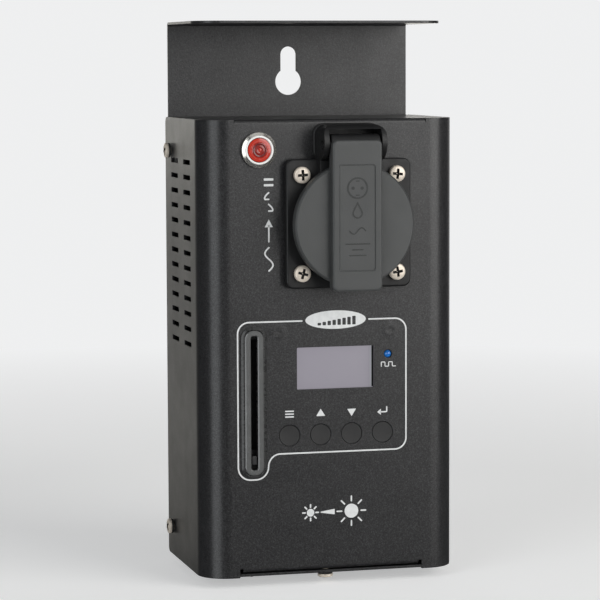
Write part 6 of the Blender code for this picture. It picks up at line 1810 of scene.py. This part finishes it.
@dataclass(frozen=True)
class Connectors:
    """The control connectors and the mains inlet in the bottom plate, seen from below."""

    view: View = View((0.0, CONNECTOR_Y, PLATE_BOTTOM), (1, 0, 0), (0, -1, 0))
    back: float = FIT_GAP
    control_front: float = 0.0021
    bore: float = 0.0094
    barrel: float = 0.0117
    bore_floor: float = -0.0134
    shell_end: float = -0.023
    contacts: tuple[Point, ...] = ((-0.0046, 0), (0, 0.0046), (0.0046, 0))
    inlet_front: float = 0.0012
    block_end: float = -0.024
    recess_x: float = -0.0045
    recess_half: Point = (0.0086, 0.0122)
    recess_cut: float = 0.0045
    recess_floor: float = -0.0142
    drawer_x: float = 0.0093
    drawer_back: float = -0.0167
    fuse_z: float = -0.0115
    screw: CrossScrew = CrossScrew(0.0026, 0.0012, shank_length=0.007, arm=0.0015, arm_width=0.0008,
                                   recess_depth=0.0008, finish=Finishes.DARK_STEEL)

    def control_flange(self, latched: bool) -> list[Surface]:
        """A control connector's flange and the shell behind it, with its open bore.

        Args:
            latched: Whether the flange has the latch's slot.

        Returns:
            The two closed surfaces, about the connector's own axis.
        """
        holes: list[Outline] = [Round(self.barrel - 0.0003, steps=72)]
        holes += [Round(SCREW_HOLE, s * -CONTROL_SCREW[0], s * CONTROL_SCREW[1], 20) for s in SIDES]
        if latched:
            holes.append(Panel(*LATCH_SLOT, 0, LATCH_OFFSET, 2))
        plate = Panel(0.026, 0.031, 0.003, steps=8)
        flange = slab(plate, self.back, self.control_front, holes, 0.0005, 0.0001)
        front, floor, end = self.control_front + 0.0002, self.bore_floor, self.shell_end
        wide, bore = self.barrel, self.bore
        shell = filleted([
            (0, end), (wide, end), (wide, front), (bore, front), (bore, floor), (0, floor),
        ], [0, 0.0008, 0.0004, 0.0006, 0.0003, 0])
        return [flange, lathe(shell, 96)]

    def control(self) -> None:
        """Puts the input with its pins and the output with its holes in the scene."""
        low = self.bore_floor - 0.0003
        sockets = [Round(0.0014, *place, 24) for place in self.contacts]
        core = slab(Round(0.0081, steps=72), low, 0.0014, sockets, 0.0005, 0.0)
        for name, x, cores in zip(("in", "out"), CONTROL_X, ([], [core])):
            shell = joined(self.control_flange(bool(cores)) + cores)
            add_piece(f"control_{name}_shell", shell, Finishes.MOULDING, self.view.at(x, 0),
                      f"control_{name}_connector")
        pin = filleted([(0, low), (0.0012, low), (0.0012, 0.0001), (0, 0.0001)], [0, 0, 0.0009, 0])
        pins = joined([lathe(pin, 24, *place) for place in self.contacts])
        add_piece("control_in_pins", pins, Finishes.STEEL, self.view.at(CONTROL_X[0], 0))

    def recess(self) -> Traced:
        """The inlet's recess: a rectangle with round corners, two of them cut off."""
        (half, tall), cut = self.recess_half, self.recess_cut
        low, high = self.recess_x - half, self.recess_x + half
        corners = [(high, -tall), (high, tall), (low + cut, tall), (low, tall - cut), (low, cut - tall),
                   (low + cut, -tall)]
        return Traced(filleted(corners, 0.001, 6, closed=True))

    def inlet(self) -> None:
        """Puts the mains inlet, its blades and its fuse drawer in the scene."""
        seat, x, back = self.view.at(INLET_X, 0), self.drawer_x, self.drawer_back
        slot, block = Panel(0.0082, 0.0242, 0.0006, x, 0, 3), Panel(0.029, 0.028, 0.0012)
        screws = [Round(SCREW_HOLE, 0, s * INLET_SCREW, 20) for s in SIDES]
        shapes = [
            slab(Panel(0.031, 0.050, 0.004, steps=8), self.back, self.inlet_front,
                 [self.recess(), slot] + screws, 0.0004, 0.0001),
            slab(block, self.recess_floor - 0.0001, self.back + 0.0003, [self.recess(), slot]),
            slab(block, back - 0.0004, self.recess_floor, [slot]),
            slab(block, self.block_end, back - FIT_GAP, rim=0.0, back_rim=0.0008),
        ]
        add_piece("inlet_block", joined(shapes), Finishes.MOULDING, seat, "mains_inlet")
        blades = [
            slab(Panel(0.004, 0.002, 0.0004, self.recess_x + across, y, 4), self.recess_floor - 0.0003,
                 -0.0007, rim=0.0005)
            for across, y in ((-0.002, 0.007), (-0.002, -0.007), (0.002, 0))
        ]
        add_piece("inlet_blades", joined(blades), Finishes.STEEL, seat)
        drawer = slab(Panel(0.0076, 0.0236, 0.0005, x, 0, 3), back, 0.0019, rim=0.0004)
        pocket = Panel(0.0080, 0.0206, 0.0004, x + 0.0012, 0, 2)
        pocket = slab(pocket, self.fuse_z - 0.0029, self.fuse_z + 0.0029)
        notch = slab(Panel(0.0046, 0.0030, 0.0008, x, -0.0092, 4), 0.0009, 0.0030)
        mesh = carved("drawer_tray", drawer.placed(seat), [pocket.placed(seat), notch.placed(seat)])
        add_piece("drawer_tray", mesh, Finishes.MOULDING, node="fuse_drawer", body=Body.DRAWER)

    def fuse(self) -> None:
        """Lays the fuse in its drawer: a glass tube with a steel cap at each end."""
        middle = self.view.at(INLET_X + self.drawer_x, 0, self.fuse_z).origin
        axis = View(middle, (1, 0, 0), (0, 0, 1))
        tube = filleted([(0, 0.009), (0.0023, 0.009), (0.0023, -0.009), (0, -0.009)], 0.0001)
        add_piece("fuse_tube", lathe(tube, 32), Finishes.FUSE, axis, "fuse", Body.DRAWER)
        cap = filleted([(0, 0.0100), (0.0026, 0.0100), (0.0026, 0.0052), (0.0022, 0.0052), (0.0022, 0.0070),
                        (0, 0.0070)], [0, 0.0005, 0.0001, 0, 0, 0])
        caps = joined([lathe(cap * (1, sign), 32) for sign in (1, -1)])
        add_piece("fuse_caps", caps, Finishes.STEEL, axis, body=Body.DRAWER)

    def build(self) -> None:
        """Puts the connectors and the dark screws of their flanges in the scene."""
        self.control()
        self.inlet()
        self.fuse()
        flat = replace(self.screw, head_height=0.0005, recess_depth=0.0004)
        for number, sign in enumerate(SIDES, 1):
            for name, x in zip(("in", "out"), CONTROL_X):
                seat = self.view.at(x - sign * CONTROL_SCREW[0], sign * CONTROL_SCREW[1],
                                    self.control_front + FIT_GAP)
                self.screw.place(f"control_{name}_bolt_{number}", seat.turned(31 * number),
                                 f"control_{name}_screw_{number}")
            seat = self.view.at(INLET_X, sign * INLET_SCREW, self.inlet_front)
            flat.place(f"inlet_bolt_{number}", seat.turned(40 * number), f"inlet_screw_{number}")


def standing(item: bpy.types.Object, axes: Sequence[Array], origin: Sequence[float]) -> None:
    """Puts a light or the camera in the scene.

    Args:
        item: The light or the camera.
        axes: The directions of its own x, y and z.
        origin: Its place.
    """
    place = np.eye(4)
    place[:3, :3] = np.stack(axes, axis=1)
    place[:3, 3] = origin
    item.matrix_world = Matrix(place.tolist())
    bpy.context.scene.collection.objects.link(item)


@dataclass(frozen=True)
class SoftBox:
    """A soft rectangular light, aimed at the pack's middle, that the camera doesn't see.

    azimuth is its direction in degrees to the right of straight in front, height its angle above the floor,
    distance how far off it stands, size its width and height, and power is in watts.
    """

    name: str
    azimuth: float
    height: float
    distance: float
    size: Point
    power: float
    colour: Colour = (1.0, 1.0, 1.0)

    def build(self) -> None:
        """Puts the light in the scene."""
        light = bpy.data.lights.new(self.name, "AREA")
        light.shape = "RECTANGLE"
        light.size, light.size_y = self.size
        light.energy = self.power
        light.color = self.colour
        turn, rise = math.radians(self.azimuth), math.radians(self.height)
        away = np.array([math.sin(turn) * math.cos(rise), -math.cos(turn) * math.cos(rise), math.sin(rise)])
        right = np.array([math.cos(turn), math.sin(turn), 0.0])
        item = bpy.data.objects.new(self.name, light)
        item.visible_camera = False
        standing(item, (right, np.cross(away, right), away), away * self.distance)


@dataclass(frozen=True)
class Studio:
    """The floor, the pale surroundings, the lights and the camera.

    felt is how strongly the surroundings light the pack.
    """

    camera_place: Place = (-0.27315, -1.04995, 0.11284)
    yaw: float = -14.83
    pitch: float = 5.26
    roll: float = -0.228
    lens: float = 158.3
    floor_z: float = -0.0932
    floor_size: float = 12.0
    felt: float = 0.04
    lights: tuple[SoftBox, ...] = (
        SoftBox("left_box", -49, 8, 1.4, (0.85, 1.6), 9.0, (0.95, 0.98, 1.0)),
        SoftBox("right_box", 37, 16, 1.6, (1.25, 1.3), 18.0, (1.0, 0.99, 0.97)),
        SoftBox("top_box", 10, 70, 1.4, (1.2, 1.0), 1.5),
        SoftBox("rear_left_box", -165, 9, 1.8, (0.9, 1.5), 1.3, (1.0, 0.97, 0.88)),
        SoftBox("rear_right_box", 143, 12, 1.8, (1.3, 1.3), 2.6, (1.0, 0.99, 0.98)),
        SoftBox("rear_box", 180, 8, 2.4, (0.35, 1.6), 5.0, (1.0, 0.99, 0.97)),
        SoftBox("low_box", 161, -1.5, 2.4, (0.42, 0.89), 1.6, (1.0, 0.97, 0.90)),
        SoftBox("side_box", -165, 4, 2.4, (0.5, 0.34), 0.75, (1.0, 0.98, 0.91)),
        SoftBox("hood_box", 9, 9, 1.6, (0.4, 0.4), 0.75),
    )

    def build(self) -> None:
        """Builds them all."""
        self.build_floor()
        self.build_world()
        for light in self.lights:
            light.build()
        self.build_camera()

    def build_floor(self) -> None:
        """A plain pale floor, which bright pieces don't mirror."""
        side = np.linspace(-self.floor_size / 2, self.floor_size / 2, 25)
        x, y = np.meshgrid(side, side)
        mesh = grid(np.stack([x, y, np.full_like(x, self.floor_z)], axis=2)).mesh("floor")
        mesh.materials.append(Finishes.FLOOR.material())
        item = bpy.data.objects.new("floor", mesh)
        bpy.context.scene.collection.objects.link(item)
        item.visible_glossy = False

    def build_world(self) -> None:
        """Pale surroundings as the camera sees them, and dimmer ones as the pack does."""
        world = bpy.data.worlds.new("studio")
        world.use_nodes = True
        bpy.context.scene.world = world
        tree = world.node_tree
        tree.nodes.clear()
        mix = tree.nodes.new("ShaderNodeMixShader")
        path = tree.nodes.new("ShaderNodeLightPath")
        tree.links.new(path.outputs["Is Camera Ray"], mix.inputs["Fac"])
        for slot, colour, strength in ((1, (0.80, 0.83, 0.88), self.felt), (2, BACKDROP, 1.0)):
            node = tree.nodes.new("ShaderNodeBackground")
            node.inputs["Color"].default_value = (*colour, 1.0)
            node.inputs["Strength"].default_value = strength
            tree.links.new(node.outputs["Background"], mix.inputs[slot])
        output = tree.nodes.new("ShaderNodeOutputWorld")
        tree.links.new(mix.outputs["Shader"], output.inputs["Surface"])

    def build_camera(self) -> None:
        """The photograph's camera: right, down and forward from its yaw and pitch, rolled about forward."""
        yaw, pitch, roll = (math.radians(a) for a in (self.yaw, self.pitch, self.roll))
        right = np.array([math.cos(yaw), math.sin(yaw), 0.0])
        level = math.cos(pitch)
        ahead = np.array([-math.sin(yaw) * level, math.cos(yaw) * level, -math.sin(pitch)])
        down = np.cross(ahead, right)
        camera = bpy.data.cameras.new("camera")
        camera.lens = self.lens
        camera.sensor_width = 36.0
        camera.clip_start = 0.01
        item = bpy.data.objects.new("camera", camera)
        rolled_right = math.cos(roll) * right - math.sin(roll) * down
        rolled_up = -math.sin(roll) * right - math.cos(roll) * down
        standing(item, (rolled_right, rolled_up, -ahead), self.camera_place)
        bpy.context.scene.camera = item
        bpy.context.scene.view_settings.view_transform = "Standard"


def main() -> None:
    """Builds the pack's pieces from the case inwards, then the studio."""
    for assembly in (Cover(), Chassis(), CaseScrews(), Outlet(), OutletLid(), Lamp(), Fader(), ControlPanel(),
                     PanelPrint(), Connectors(), SoftenedPieces(), Studio()):
        assembly.build()


if __name__ == "__main__":
    logging.basicConfig(level=logging.INFO, format="%(message)s")
    main()
